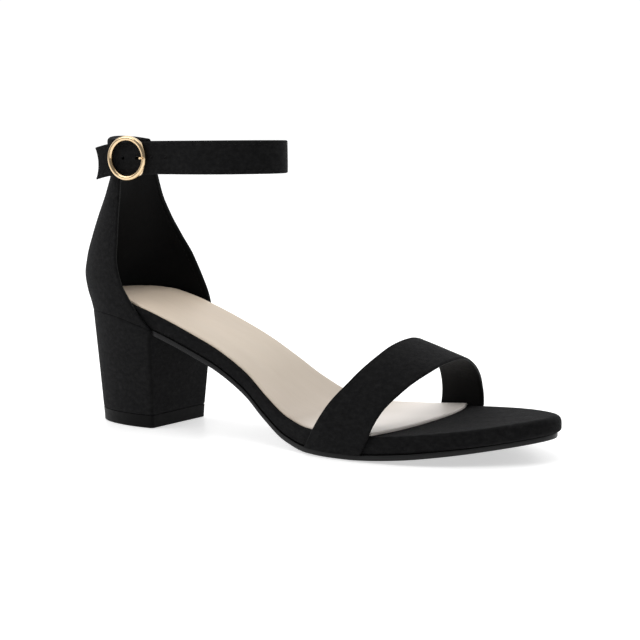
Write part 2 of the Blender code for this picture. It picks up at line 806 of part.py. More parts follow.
def stack_depths():
    """Distances outward from the strap's inner layer to the bar, fold, tail and ring."""
    bar = STRAP_SKIVED / 2 + FIT_GAP + BAR_DIAMETER / 2
    fold = 2 * bar
    prong_top = bar + prong_turn() + PRONG_DIAMETER / 2
    tail = max(fold + STRAP_SKIVED / 2, prong_top) + FIT_GAP + STRAP_THICKNESS / 2
    ring = tail + STRAP_THICKNESS / 2 + FIT_GAP + RING_DEPTH / 2
    return bar, fold, tail, ring


def prong_turn():
    """Radius of the prong's centre line round the bar."""
    return BAR_DIAMETER / 2 + FIT_GAP + PRONG_DIAMETER / 2


def strap_path():
    """Points (place, thickness, drop) of the strap: fold, inner layer, loop, outer layer, tail."""
    middle, forward, outward = buckle_frame_axes()
    bar, fold, tail, _ = stack_depths()
    loop = closed_catmull(loop_point_list(), 2)
    path = []
    for share in (1.0, 0.53, 0.2):
        path.append((middle - forward * FOLD_LENGTH * share + outward * fold, STRAP_SKIVED, 0.0))
    for step in range(9):
        angle = math.pi / 2 - math.pi * step / 8
        around = forward * math.cos(angle) * bar + outward * (bar + math.sin(angle) * bar)
        path.append((middle + around, STRAP_SKIVED, 0.0))
    for share in (0.2, 0.53):
        path.append((middle - forward * FOLD_LENGTH * share, STRAP_SKIVED, 0.0))
    start = min(range(len(loop)), key=lambda k: (loop[k] - middle).length)
    order = loop[start:] + loop[:start]
    for point in order:
        run = (point - middle).dot(forward)
        on_outer_side = point.y < 0
        if on_outer_side and point.x < middle.x - 0.87 * FOLD_LENGTH:
            path.append((point, STRAP_THICKNESS, 0.0))
        elif not on_outer_side:
            path.append((point, STRAP_THICKNESS, 0.0))
        elif run > 0.4 * LAYERS_PART:
            beside = middle + forward * run + outward * tail
            place = beside.lerp(point, smoothstep(LAYERS_PART, LAYERS_JOIN, run))
            path.append((place, STRAP_THICKNESS, 0.0))
    for step in range(-1, 9):
        share = max(step, 0) / 8
        run = -TAIL_LENGTH * share if step >= 0 else 1.5 * MM
        place = middle + forward * run + outward * (tail - TAIL_CURL * share ** 2)
        path.append((place, STRAP_THICKNESS, TAIL_DROOP * share ** 2))
    return path


def build_strap(material, collection, cutters):
    """The ankle strap: a ribbon swept along its path, with the prong's slot and hole cut."""
    path = strap_path()
    bm = bmesh.new()
    rings = []
    for k, (point, thickness, drop) in enumerate(path):
        before = path[max(k - 1, 0)][0]
        after = path[min(k + 1, len(path) - 1)][0]
        tangent = (after - before).normalized()
        normal = Vector((tangent.y, -tangent.x))
        ring = []
        for across, up in rounded_section(STRAP_WIDTH, thickness):
            p = point + normal * across
            ring.append(bm.verts.new((p.x, p.y, STRAP_HEIGHT + up - drop)))
        rings.append(ring)
    for ring_a, ring_b in zip(rings, rings[1:]):
        bridge(bm, ring_a, ring_b)
    bm.faces.new(rings[0])
    bm.faces.new(rings[-1])
    piece = mesh_object("ankle_strap", bm, material, collection)
    middle, forward, outward = buckle_frame_axes()
    bar, fold, tail, _ = stack_depths()
    slot_half = PRONG_DIAMETER / 2 + 2 * FIT_GAP
    slot_low = -BAR_DIAMETER / 2 - PRONG_DIAMETER - 3 * FIT_GAP
    gap_mid = (fold + STRAP_SKIVED / 2 + tail - STRAP_THICKNESS / 2) / 2
    slot = cutter_box("prong_slot", cutters,
                      (slot_low, -slot_low + 1.0 * MM), (-2.5 * MM, gap_mid), slot_half)
    hole = cutter_box("prong_hole", cutters,
                      (HOLE_OFFSET - HOLE_LENGTH / 2, HOLE_OFFSET + HOLE_LENGTH / 2),
                      (gap_mid, tail + 2.0 * MM), HOLE_WIDTH / 2)
    cuts = [slot, hole]
    for index in (-1, 1, 2):
        low = gap_mid if index < 0 else -tail
        cuts.append(cutter_rod("spare_hole", cutters, HOLE_OFFSET + index * HOLE_PITCH,
                               (low, tail + 2.0 * MM), SPARE_HOLE_DIAMETER / 2, 12, 0.0))
    notch_x = -TAIL_LENGTH - TAIL_NOTCH_RADIUS + TAIL_NOTCH_DEPTH
    cuts.append(cutter_rod("tail_notch", cutters, notch_x, (0.0, 2 * tail),
                           TAIL_NOTCH_RADIUS, 64, TAIL_DROOP))
    for cutter in cuts:
        cut = piece.modifiers.new(cutter.name, "BOOLEAN")
        cut.operation = "DIFFERENCE"
        cut.solver = "EXACT"
        cut.object = cutter
    return piece


def place_cutter(name, bm, collection):
    """Turn a cutter made in the buckle's own directions into the object's frame."""
    middle, forward, outward = buckle_frame_axes()
    for vert in bm.verts:
        along, depth, up = vert.co
        place = middle + forward * along + outward * depth
        vert.co = (place.x, place.y, STRAP_HEIGHT + up)
    bm.normal_update()
    bmesh.ops.recalc_face_normals(bm, faces=bm.faces)
    mesh = bpy.data.meshes.new(name)
    bm.to_mesh(mesh)
    bm.free()
    cutter = bpy.data.objects.new(name, mesh)
    cutter.hide_render = True
    cutter.display_type = "WIRE"
    collection.objects.link(cutter)
    return cutter


def cutter_box(name, collection, along, depth, half_height):
    """A box in the buckle's own directions: along the strap, outward, and up."""
    bm = bmesh.new()
    bmesh.ops.create_cube(bm, size=1.0)
    size = (along[1] - along[0], depth[1] - depth[0], 2 * half_height)
    bmesh.ops.scale(bm, vec=size, verts=bm.verts)
    middle = ((along[0] + along[1]) / 2, (depth[0] + depth[1]) / 2, 0.0)
    bmesh.ops.translate(bm, vec=middle, verts=bm.verts)
    return place_cutter(name, bm, collection)


def cutter_rod(name, collection, along, depth, radius, segments, drop):
    """A round rod that runs outward through the strap, in the buckle's own directions."""
    bm = bmesh.new()
    bmesh.ops.create_cone(bm, cap_ends=True, segments=segments, radius1=radius, radius2=radius,
                          depth=depth[1] - depth[0])
    bmesh.ops.rotate(bm, cent=(0, 0, 0), matrix=Matrix.Rotation(math.pi / 2, 3, "X"), verts=bm.verts)
    bmesh.ops.translate(bm, vec=(along, (depth[0] + depth[1]) / 2, -drop), verts=bm.verts)
    return place_cutter(name, bm, collection)


def wire_mesh(name, points, radius, resolution=3):
    """A round wire through 3D points, as a closed mesh object."""
    curve = bpy.data.curves.new(name, "CURVE")
    curve.dimensions = "3D"
    curve.bevel_depth = radius
    curve.bevel_resolution = resolution
    curve.use_fill_caps = True
    spline = curve.splines.new("POLY")
    spline.points.add(len(points) - 1)
    for target, point in zip(spline.points, points):
        target.co = (*point, 1.0)
    holder = bpy.data.objects.new(name, curve)
    bpy.context.scene.collection.objects.link(holder)
    graph = bpy.context.evaluated_depsgraph_get()
    mesh = bpy.data.meshes.new_from_object(holder.evaluated_get(graph))
    bm = bmesh.new()
    bm.from_mesh(mesh)
    bmesh.ops.transform(bm, matrix=holder.matrix_world, verts=bm.verts)
    bpy.data.objects.remove(holder)
    bpy.data.curves.remove(curve)
    bpy.data.meshes.remove(mesh)
    return bm


def in_buckle(along, depth, up):
    """World point of a place given in the buckle's own directions."""
    middle, forward, outward = buckle_frame_axes()
    p = middle + forward * along + outward * depth
    return Vector((p.x, p.y, STRAP_HEIGHT + up))


def build_buckle(material, collection, cutters):
    """The buckle's ring, with its bar set back so that the strap passes between them."""
    bar, _, _, ring_depth = stack_depths()
    radius = RING_DIAMETER / 2 - RING_WIDTH / 2
    segments = 36
    around = 10
    bm = bmesh.new()
    rings = []
    for k in range(segments):
        angle = 2 * math.pi * k / segments
        ring = []
        for step in range(around):
            turn = 2 * math.pi * step / around
            out = radius + math.cos(turn) * RING_WIDTH / 2
            depth = ring_depth + math.sin(turn) * RING_DEPTH / 2
            point = in_buckle(out * math.cos(angle), depth, out * math.sin(angle))
            ring.append(bm.verts.new(point))
        rings.append(ring)
    for ring_a, ring_b in zip(rings, rings[1:] + [rings[0]]):
        bridge(bm, ring_a, ring_b)
    frame = mesh_object("buckle_frame", bm, material, collection)
    bend = BAR_BEND
    inner = radius - bend
    points = [in_buckle(0, ring_depth, radius)]
    for step in range(5):
        angle = math.pi / 2 * step / 4
        points.append(in_buckle(0, bar + bend - bend * math.sin(angle),
                                inner + bend * math.cos(angle)))
    mirrored = [in_buckle(0, ring_depth, -radius)]
    for step in range(5):
        angle = math.pi / 2 * step / 4
        mirrored.append(in_buckle(0, bar + bend - bend * math.sin(angle),
                                  -inner - bend * math.cos(angle)))
    wire = wire_mesh("buckle_bar", points + mirrored[::-1], BAR_DIAMETER / 2, 2)
    bar_piece = mesh_object("buckle_bar", wire, material, cutters)
    bar_piece.hide_render = True
    bar_piece.display_type = "WIRE"
    join = frame.modifiers.new("bar", "BOOLEAN")
    join.operation = "UNION"
    join.solver = "EXACT"
    join.object = bar_piece
    return frame


def build_prong(material, collection):
    """The prong: a wire round the bar, out through the strap's hole and onto the ring."""
    bar, _, tail, ring_depth = stack_depths()
    turn_radius = prong_turn()
    rest = ring_depth + RING_DEPTH / 2 + FIT_GAP + PRONG_DIAMETER / 2
    points = []
    for step in range(13):
        angle = math.radians(-50 - 220 * step / 12)
        points.append(in_buckle(turn_radius * math.cos(angle), bar + turn_radius * math.sin(angle), 0))
    reach = PRONG_REACH
    points.append(in_buckle(0.22 * reach, bar + turn_radius + 0.05 * MM, 0))
    points.append(in_buckle(0.48 * reach, tail, 0))
    points.append(in_buckle(0.68 * reach, rest - 1.75 * MM, 0))
    points.append(in_buckle(0.85 * reach, rest, 0))
    points.append(in_buckle(reach, rest + 0.05 * MM, 0))
    wire = wire_mesh("buckle_prong", points, PRONG_DIAMETER / 2, 2)
    return mesh_object("buckle_prong", wire, material, collection)


def main():
    for old in list(bpy.data.objects):
        bpy.data.objects.remove(old, do_unlink=True)
    parts = make_collection("block_heel_sandal")
    cutters = make_collection("cutters")
    suede = make_material("black_suede", (0.012, 0.012, 0.013), 0.95)
    lining = make_material("beige_insole", (0.70, 0.58, 0.46), 0.55)
    sole = make_material("black_sole", (0.010, 0.010, 0.011), 0.35)
    lift = make_material("black_lift", (0.014, 0.014, 0.015), 0.45)
    gold = make_material("gold_metal", (0.83, 0.62, 0.32), 0.22, 1.0)
    build_outsole(sole, parts)
    build_footbed(suede.copy(), parts)
    build_insole(lining, parts)
    build_heel(suede.copy(), parts)
    build_top_piece(lift, parts)
    build_counter(suede.copy(), parts)
    build_band(suede.copy(), parts)
    build_strap(suede, parts, cutters)
    build_buckle(gold, parts, cutters)
    build_prong(gold.copy(), parts)


main()
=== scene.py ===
"""Block heel sandal, right shoe: the finish of every surface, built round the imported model.

Frame: +X to the toe, +Y to the inner side of the foot, +Z up, metres.
"""

import functools
import math

import bmesh
import bpy
from mathutils import Matrix, Vector


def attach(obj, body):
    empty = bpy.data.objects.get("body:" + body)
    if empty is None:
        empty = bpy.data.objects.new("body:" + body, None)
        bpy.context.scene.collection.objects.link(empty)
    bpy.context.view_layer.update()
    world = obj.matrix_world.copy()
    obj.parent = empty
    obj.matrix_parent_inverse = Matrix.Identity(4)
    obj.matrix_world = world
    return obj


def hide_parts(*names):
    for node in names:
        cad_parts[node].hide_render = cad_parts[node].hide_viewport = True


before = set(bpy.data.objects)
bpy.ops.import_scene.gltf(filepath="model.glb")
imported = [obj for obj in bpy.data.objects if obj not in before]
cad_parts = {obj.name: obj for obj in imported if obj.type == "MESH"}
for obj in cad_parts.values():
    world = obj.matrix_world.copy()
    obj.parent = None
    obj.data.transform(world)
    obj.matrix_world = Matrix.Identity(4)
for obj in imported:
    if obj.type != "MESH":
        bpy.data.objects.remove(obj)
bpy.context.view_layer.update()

MM = 0.001


def table(columns, *rows):
    """A table's rows as dictionaries under the names of its columns."""
    names = columns.split()
    return [dict(zip(names, row)) for row in rows]


# Overall sizes
FOOTBED_LENGTH = 231.1 * MM
HEEL_END_X = -22.6 * MM
BALL_WIDTH = 84.6 * MM
SEAT_WIDTH = 48.0 * MM
SEAT_HEIGHT = 60.0 * MM
TOE_SPRING = 8.8 * MM
FIT_GAP = 0.3 * MM

# Sole layers
OUTSOLE_THICKNESS = 2.2 * MM
FOOTBED_THICKNESS = 7.4 * MM
FOOTBED_EDGE = 1.5 * MM
TOE_EDGE = 3.4 * MM
SEAT_TUCK = 2.8 * MM
INSOLE_THICKNESS = 1.1 * MM
INSOLE_INSET = 1.9 * MM
INSOLE_FRONT_X = 147.5 * MM
INSOLE_FRONT_SLANT = 6.0 * MM
INSOLE_FRONT_CROWN = 7.0 * MM
OUTSOLE_MARGIN = 0.5 * MM
OUTSOLE_TOE_SET_BACK = 1.6 * MM

# Heel
HEEL_BASE_DEPTH = 40.5 * MM
HEEL_BASE_WIDTH = 37.0 * MM
BREAST_LEAN = 2.7 * MM
BREAST_SKEW = 1.9 * MM
TOP_PIECE_HEIGHT = 6.0 * MM

# Counter, the closed heel quarter
COUNTER_WALL = 1.8 * MM
COUNTER_WIDTH = 54.8 * MM
COUNTER_BULGE = 23.4 * MM
TUNNEL_SKIN = 0.9 * MM
TUNNEL_LEAN = 3.5 * MM

# Ankle strap
STRAP_WIDTH = 14.4 * MM
STRAP_THICKNESS = 1.5 * MM
STRAP_SKIVED = 0.9 * MM
STRAP_HEIGHT = 122.9 * MM
LOOP_FRONT_X = 78.0 * MM
LOOP_HALF_WIDTH = 22.8 * MM
TAIL_LENGTH = 19.8 * MM
TAIL_DROOP = 2.5 * MM
TAIL_CURL = 3.0 * MM
TAIL_NOTCH_RADIUS = 14.0 * MM
TAIL_NOTCH_DEPTH = 1.8 * MM
FOLD_LENGTH = 7.5 * MM
LAYERS_PART = 10.0 * MM
LAYERS_JOIN = 34.0 * MM
TAIL_LEAD = 1.5 * MM
# where the loop meets the fold and leaves it, as shares of FOLD_LENGTH and LAYERS_PART
LOOP_END = 0.87
LOOP_START = 0.4

# Toe band
BAND_WALL = 1.6 * MM
BAND_RISE_REAR = 36.0 * MM
BAND_RISE_FRONT = 26.6 * MM
BAND_FLATTENING = 0.15
BAND_OUTER_SWELL = 1.8 * MM
BAND_INNER_DROP = 2.2 * MM

# Buckle
BUCKLE_X = 12.6 * MM
BUCKLE_TURN_DEG = 4.0
RING_DIAMETER = 19.8 * MM
RING_WIDTH = 2.2 * MM
RING_DEPTH = 2.6 * MM
BAR_DIAMETER = 1.6 * MM
BAR_BEND = 1.3 * MM
PRONG_DIAMETER = 1.2 * MM
PRONG_REACH = 9.2 * MM
HOLE_OFFSET = 4.0 * MM
HOLE_WIDTH = 2.0 * MM
HOLE_PITCH = 7.3 * MM
SPARE_HOLE_DIAMETER = 1.6 * MM

# Sections of the footbed from heel to toe, as shares: along = of the footbed's length,
# outer and inner = half widths of the local width, rise = of the seat's height,
# thick = of the footbed's thickness.
FOOTBED_ROWS = table(
    "along outer inner rise thick",
    (0.000, 0.000, 0.000, 1.000, 1.00),
    (0.010, 0.172, 0.172, 1.000, 1.00),
    (0.032, 0.300, 0.300, 1.002, 1.00),
    (0.066, 0.405, 0.405, 1.000, 1.00),
    (0.109, 0.470, 0.470, 0.985, 1.00),
    (0.160, 0.500, 0.500, 0.935, 0.97),
    (0.215, 0.502, 0.502, 0.862, 0.92),
    (0.280, 0.502, 0.502, 0.760, 0.88),
    (0.345, 0.405, 0.405, 0.645, 0.88),
    (0.409, 0.319, 0.319, 0.497, 0.92),
    (0.460, 0.329, 0.329, 0.352, 0.97),
    (0.516, 0.375, 0.385, 0.225, 1.00),
    (0.572, 0.422, 0.447, 0.172, 1.00),
    (0.623, 0.449, 0.497, 0.165, 1.00),
    (0.675, 0.458, 0.528, 0.165, 1.00),
    (0.722, 0.462, 0.530, 0.165, 1.00),
    (0.773, 0.446, 0.503, 0.165, 1.00),
    (0.824, 0.410, 0.445, 0.165, 0.98),
    (0.872, 0.356, 0.372, 0.165, 0.97),
    (0.914, 0.290, 0.290, 0.165, 0.96),
    (0.949, 0.221, 0.211, 0.165, 0.95),
    (0.976, 0.153, 0.135, 0.165, 0.94),
    (0.993, 0.086, 0.064, 0.165, 0.94),
    (1.000, 0.012, -0.012, 0.165, 0.94),
)
WAIST_START = 0.28
WAIST_END = 0.46
SPRING_START = 0.665
SPRING_POWER = 1.35

# Levels of the counter, bottom to strap, as shares: level = of the height from seat to strap,
# half = of the counter's width, back = of its bulge behind the heel's middle,
# centre = of the bulge, outer_front and inner_front = of the footbed's length.
COUNTER_ROWS = table(
    "level half back centre outer_front inner_front",
    (0.00, 0.478, 0.987, 0.66, 0.0996, 0.105),
    (0.07, 0.484, 1.043, 0.66, 0.0734, 0.097),
    (0.15, 0.491, 1.120, 0.66, 0.0550, 0.090),
    (0.26, 0.498, 1.165, 0.62, 0.0344, 0.074),
    (0.40, 0.500, 1.085, 0.54, 0.0253, 0.052),
    (0.55, 0.474, 0.940, 0.45, 0.0240, 0.027),
    (0.70, 0.431, 0.775, 0.33, 0.0204, 0.009),
    (0.85, 0.374, 0.605, 0.24, 0.0150, 0.000),
    (1.00, 0.323, 0.458, 0.16, 0.0103, -0.003),
)

# Plan of the ankle loop in front of the counter, as shares: along = from the loop's back to
# its front, half = of the loop's half width.
LOOP_ROWS = table(
    "along half",
    (0.165, 0.770),
    (0.220, 0.822),
    (0.275, 0.843),
    (0.350, 0.868),
    (0.450, 0.940),
    (0.560, 0.990),
    (0.660, 0.985),
    (0.770, 0.900),
    (0.870, 0.715),
    (0.950, 0.450),
    (0.990, 0.190),
    (1.000, 0.000),
)
LOOP_WRAP_DEG = 75.0

# Edges of the toe band over the foot: turn = from the outer foot (0) to the inner foot (1),
# rear and front = places along the footbed as shares of its length.
BAND_ROWS = table(
    "turn rear front",
    (0.00, 0.587, 0.710),
    (0.10, 0.620, 0.734),
    (0.20, 0.656, 0.762),
    (0.35, 0.688, 0.791),
    (0.50, 0.697, 0.798),
    (0.65, 0.694, 0.789),
    (0.80, 0.686, 0.778),
    (0.90, 0.680, 0.771),
    (1.00, 0.673, 0.769),
)
BAND_FOOT_SWEEP = 4.0 * MM


def clamp(value, low=0.0, high=1.0):
    return max(low, min(high, value))


def smoothstep(low, high, value):
    t = clamp((value - low) / (high - low))
    return t * t * (3 - 2 * t)


def hermite(xs, ys, x):
    """Value at x of a monotone cubic through the points (xs, ys)."""
    x = clamp(x, xs[0], xs[-1])
    last = len(xs) - 2
    k = 0
    while k < last and x > xs[k + 1]:
        k += 1

    def slope(i):
        if i == 0 or i == len(xs) - 1:
            j = min(max(i, 1), len(xs) - 1)
            return (ys[j] - ys[j - 1]) / (xs[j] - xs[j - 1])
        before = (ys[i] - ys[i - 1]) / (xs[i] - xs[i - 1])
        after = (ys[i + 1] - ys[i]) / (xs[i + 1] - xs[i])
        if before * after <= 0:
            return 0.0
        return 2 * before * after / (before + after)

    h = xs[k + 1] - xs[k]
    t = (x - xs[k]) / h
    return ((2 * t ** 3 - 3 * t ** 2 + 1) * ys[k] + (t ** 3 - 2 * t ** 2 + t) * h * slope(k)
            + (-2 * t ** 3 + 3 * t ** 2) * ys[k + 1] + (t ** 3 - t ** 2) * h * slope(k + 1))


def column(rows, key, name, value):
    """Interpolated value of one column of a table at value of its first column."""
    return hermite([row[key] for row in rows], [row[name] for row in rows], value)


def catmull(points, per_span):
    """Points of a smooth curve through the given ones, per_span to each span."""
    result = []
    ends = len(points) - 1
    for k in range(ends):
        p0 = points[max(k - 1, 0)]
        p1 = points[k]
        p2 = points[k + 1]
        p3 = points[min(k + 2, ends)]
        for step in range(per_span):
            t = step / per_span
            result.append(0.5 * (2 * p1 + (p2 - p0) * t + (2 * p0 - 5 * p1 + 4 * p2 - p3) * t ** 2
                                 + (3 * p1 - p0 - 3 * p2 + p3) * t ** 3))
    result.append(points[-1].copy())
    return result


def local_width(along):
    return SEAT_WIDTH + (BALL_WIDTH - SEAT_WIDTH) * smoothstep(WAIST_START, WAIST_END, along)


def along_of(x):
    return (x - HEEL_END_X) / FOOTBED_LENGTH


def x_of(along):
    return HEEL_END_X + along * FOOTBED_LENGTH


def outer_half(x):
    """Half width of the footbed on the outer side, at x."""
    along = along_of(x)
    return column(FOOTBED_ROWS, "along", "outer", along) * local_width(along)


def inner_half(x):
    along = along_of(x)
    return column(FOOTBED_ROWS, "along", "inner", along) * local_width(along)


def forefoot_height():
    return OUTSOLE_THICKNESS + FIT_GAP + FOOTBED_THICKNESS


def footbed_top(x):
    """Height of the footbed's upper face along the shoe."""
    along = along_of(x)
    low = FOOTBED_ROWS[-1]["rise"]
    share = (column(FOOTBED_ROWS, "along", "rise", along) - low) / (1 - low)
    spring = clamp((along - SPRING_START) / (1 - SPRING_START)) ** SPRING_POWER
    return forefoot_height() + share * (SEAT_HEIGHT - forefoot_height()) + spring * TOE_SPRING


def footbed_thickness(x):
    return column(FOOTBED_ROWS, "along", "thick", along_of(x)) * FOOTBED_THICKNESS


def footbed_bottom(x):
    return footbed_top(x) - footbed_thickness(x)


def footbed_pairs(per_span):
    """Points of the footbed's outline, as (outer, inner) pairs from heel to toe."""
    outer, inner = [
        [Vector((x_of(row["along"]), sign * row[name] * local_width(row["along"])))
         for row in FOOTBED_ROWS] for name, sign in (("outer", -1), ("inner", 1))]
    # the neighbour across the heel and the toe rounds both ends
    outer_curve = catmull([inner[1]] + outer + [inner[-2]], per_span)[per_span:-per_span]
    inner_curve = catmull([outer[1]] + inner + [outer[-2]], per_span)[per_span:-per_span]
    return list(zip(outer_curve, inner_curve))


def trim_front(pairs, outer_x, inner_x, crown, steps):
    """Cut the pairs at a front line, bowed by crown, that ends in a point at its middle."""
    kept = [pair for pair in pairs if pair[0].x < outer_x and pair[1].x < inner_x]
    corner_outer = edge_point(pairs, 0, outer_x)
    corner_inner = edge_point(pairs, 1, inner_x)
    middle = (corner_outer + corner_inner) / 2
    for step in range(steps + 1):
        share = step / steps
        bow = Vector((crown * (1 - (1 - share) ** 2.5), 0))
        kept.append((corner_outer.lerp(middle, share) + bow, corner_inner.lerp(middle, share) + bow))
    return kept


def trim_rear(pairs, x):
    """Cut the pairs at a straight rear line."""
    kept = [pair for pair in pairs if pair[0].x > x and pair[1].x > x]
    return [(edge_point(pairs, 0, x), edge_point(pairs, 1, x))] + kept


def edge_point(pairs, side, x):
    """Point of one side's outline at x."""
    for before, after in zip(pairs, pairs[1:]):
        a = before[side]
        b = after[side]
        if a.x <= x <= b.x:
            return a.lerp(b, (x - a.x) / max(b.x - a.x, 1e-9))
    return pairs[-1][side].copy()


def is_point(pair):
    return (pair[0] - pair[1]).length < 1e-7


def loop_of(pairs, columns):
    """Closed counter-clockwise loop of pairs; a flat end is split into columns."""
    outer = [pair[0] for pair in pairs]
    inner = [pair[1] for pair in pairs][::-1]
    front = []
    rear = []
    if is_point(pairs[-1]):
        inner = inner[1:]
    else:
        front = [outer[-1].lerp(inner[0], k / columns) for k in range(1, columns)]
    if is_point(pairs[0]):
        inner = inner[:-1]
    else:
        rear = [inner[-1].lerp(outer[0], k / columns) for k in range(1, columns)]
    return outer + front + inner + rear


def inset_loop(loop, amounts):
    """Each point of a counter-clockwise loop moved inwards by its own amount."""
    moved = []
    count = len(loop)
    for k, point in enumerate(loop):
        tangent = (loop[(k + 1) % count] - loop[k - 1]).normalized()
        inward = Vector((-tangent.y, tangent.x))
        moved.append(point + inward * amounts[k])
    return moved


def seat_tuck(point):
    """Inset that pulls the footbed's lower edge in around the back of the heel."""
    return SEAT_TUCK * (1 - smoothstep(0.0, 0.13, along_of(point.x)))


def top_edge(x):
    """Radius of the footbed's upper edge, which grows towards the tip of the toe."""
    return FOOTBED_EDGE + (TOE_EDGE - FOOTBED_EDGE) * smoothstep(0.88, 1.0, along_of(x))


def outsole_top(x):
    return footbed_bottom(x) - FIT_GAP


def breast_x(level, y_share=0.0):
    """Place of the heel's front face: level from floor (0) to seat (1)."""
    return HEEL_BASE_DEPTH / 2 + BREAST_LEAN * level + BREAST_SKEW * (1 - level) * y_share


CURVE_STEPS = 64
COUNTER_SCALES = dict(half=COUNTER_WIDTH, back=-COUNTER_BULGE, centre=COUNTER_BULGE,
                      outer_front=FOOTBED_LENGTH, inner_front=FOOTBED_LENGTH)


@functools.lru_cache(maxsize=None)
def counter_section(level):
    """Plan of the counter at a level: half width, back, centre and the two front ends."""
    return tuple(column(COUNTER_ROWS, "level", name, level) * scale
                 for name, scale in COUNTER_SCALES.items())


@functools.lru_cache(maxsize=None)
def u_curve(half, back, centre, outer_front, inner_front, inset):
    """Points along a U in plan, from the outer front end round the back to the inner one."""
    reach = centre - back - inset
    side = half - inset

    def arm(front):
        if front >= centre:
            return math.pi / 2, front - centre
        return math.acos(clamp((centre - front) / reach, -1, 1)), 0.0

    outer_angle, outer_straight = arm(outer_front)
    inner_angle, inner_straight = arm(inner_front)
    radius = (reach + side) / 2
    total_outer = outer_angle * radius + outer_straight
    total_inner = inner_angle * radius + inner_straight
    points = []
    for k in range(CURVE_STEPS + 1):
        share = 2 * k / CURVE_STEPS - 1
        run = abs(share) * (total_outer if share < 0 else total_inner)
        angle_limit = outer_angle if share < 0 else inner_angle
        angle = min(run / radius, angle_limit)
        straight = run - angle * radius if run / radius > angle_limit else 0.0
        sign = -1 if share < 0 else 1
        points.append(Vector((centre - reach * math.cos(angle) + straight,
                              sign * side * math.sin(angle))))
    return points


def on_curve(curve, share):
    k = clamp(share) * CURVE_STEPS
    low = min(int(k), CURVE_STEPS - 1)
    return curve[low].lerp(curve[low + 1], k - low)


def strap_low():
    return STRAP_HEIGHT - STRAP_WIDTH / 2


def strap_high():
    return STRAP_HEIGHT + STRAP_WIDTH / 2


def counter_z(level, x):
    """Height of a counter level: the lowest follows the footbed's underside."""
    low = footbed_bottom(x)
    high = strap_low() - FIT_GAP - TUNNEL_SKIN
    return low + level * (high - low)


def band_point(turn, place):
    """Point of the toe band's outer face: turn over the foot, place from rear to front edge."""
    rear = x_of(column(BAND_ROWS, "turn", "rear", turn))
    front = x_of(column(BAND_ROWS, "turn", "front", turn))
    x = rear + (front - rear) * place
    stand_off = FIT_GAP + BAND_WALL
    outer_y = -(outer_half(x) + stand_off)
    inner_y = inner_half(x) + stand_off
    angle = math.pi * turn
    rise = BAND_RISE_REAR + (BAND_RISE_FRONT - BAND_RISE_REAR) * place
    arch = max(math.sin(angle), 0.0) ** (1 - BAND_FLATTENING * place)
    cosine = math.cos(angle)
    y = (outer_y + inner_y) / 2
    y -= (inner_y - outer_y) / 2 * cosine
    # the outer shoulder is fuller than an ellipse and the inner one flatter
    fullness = BAND_OUTER_SWELL if cosine > 0 else BAND_INNER_DROP
    shoulder = math.sin(2 * angle) * math.sqrt(abs(cosine))
    return Vector((x, y, footbed_top(x) + rise * arch + fullness * shoulder))


def band_foot(side, place, share):
    """Point of the band beside the footbed, share from its top (0) to the outsole (1)."""
    turn = 0.0 if side < 0 else 1.0
    top = band_point(turn, place)
    x = top.x - BAND_FOOT_SWEEP * share
    stand_off = FIT_GAP + BAND_WALL
    half = outer_half(x) if side < 0 else inner_half(x)
    low = outsole_top(x) + FIT_GAP
    return Vector((x, side * (half + stand_off), top.z + (low - top.z) * share))


def loop_point_list():
    """Centre line of the strap's loop, from its front round the outer side and the back."""
    half, back, centre, _, _ = counter_section(1.0)
    back += COUNTER_WALL / 2
    half -= COUNTER_WALL / 2
    length = LOOP_FRONT_X - back
    outer = []
    for row in LOOP_ROWS:
        outer.append(Vector((back + row["along"] * length, -row["half"] * LOOP_HALF_WIDTH)))
    wrap = []
    steps = 8
    for step in range(2 * steps + 1):
        angle = math.radians(LOOP_WRAP_DEG) * (step / steps - 1)
        wrap.append(Vector((centre - (centre - back) * math.cos(angle), half * math.sin(angle))))
    inner = [Vector((p.x, -p.y)) for p in outer]
    return outer[::-1] + wrap + inner[:-1]


def closed_catmull(points, per_span):
    lead = [points[-1]] + points + [points[0], points[1]]
    return catmull(lead, per_span)[per_span:-per_span - 1]


@functools.lru_cache(maxsize=None)
def buckle_frame_axes():
    """Middle of the strap at the buckle, the direction forward along it, and outward."""
    ring = closed_catmull(loop_point_list(), 4)
    middle = min((p for p in ring if p.y < 0), key=lambda p: abs(p.x - BUCKLE_X))
    turn = math.radians(BUCKLE_TURN_DEG)
    forward = Vector((math.cos(turn), math.sin(turn)))
    return middle, forward, Vector((forward.y, -forward.x))


def stack_depths():
    """Distances outward from the strap's inner layer to the bar, fold, tail and ring."""
    bar = STRAP_SKIVED / 2 + FIT_GAP + BAR_DIAMETER / 2
    fold = 2 * bar
    prong_top = bar + prong_turn() + PRONG_DIAMETER / 2
    tail = max(fold + STRAP_SKIVED / 2, prong_top) + FIT_GAP + STRAP_THICKNESS / 2
    ring = tail + STRAP_THICKNESS / 2 + FIT_GAP + RING_DEPTH / 2
    return bar, fold, tail, ring


def prong_turn():
    """Radius of the prong's centre line round the bar."""
    return BAR_DIAMETER / 2 + FIT_GAP + PRONG_DIAMETER / 2


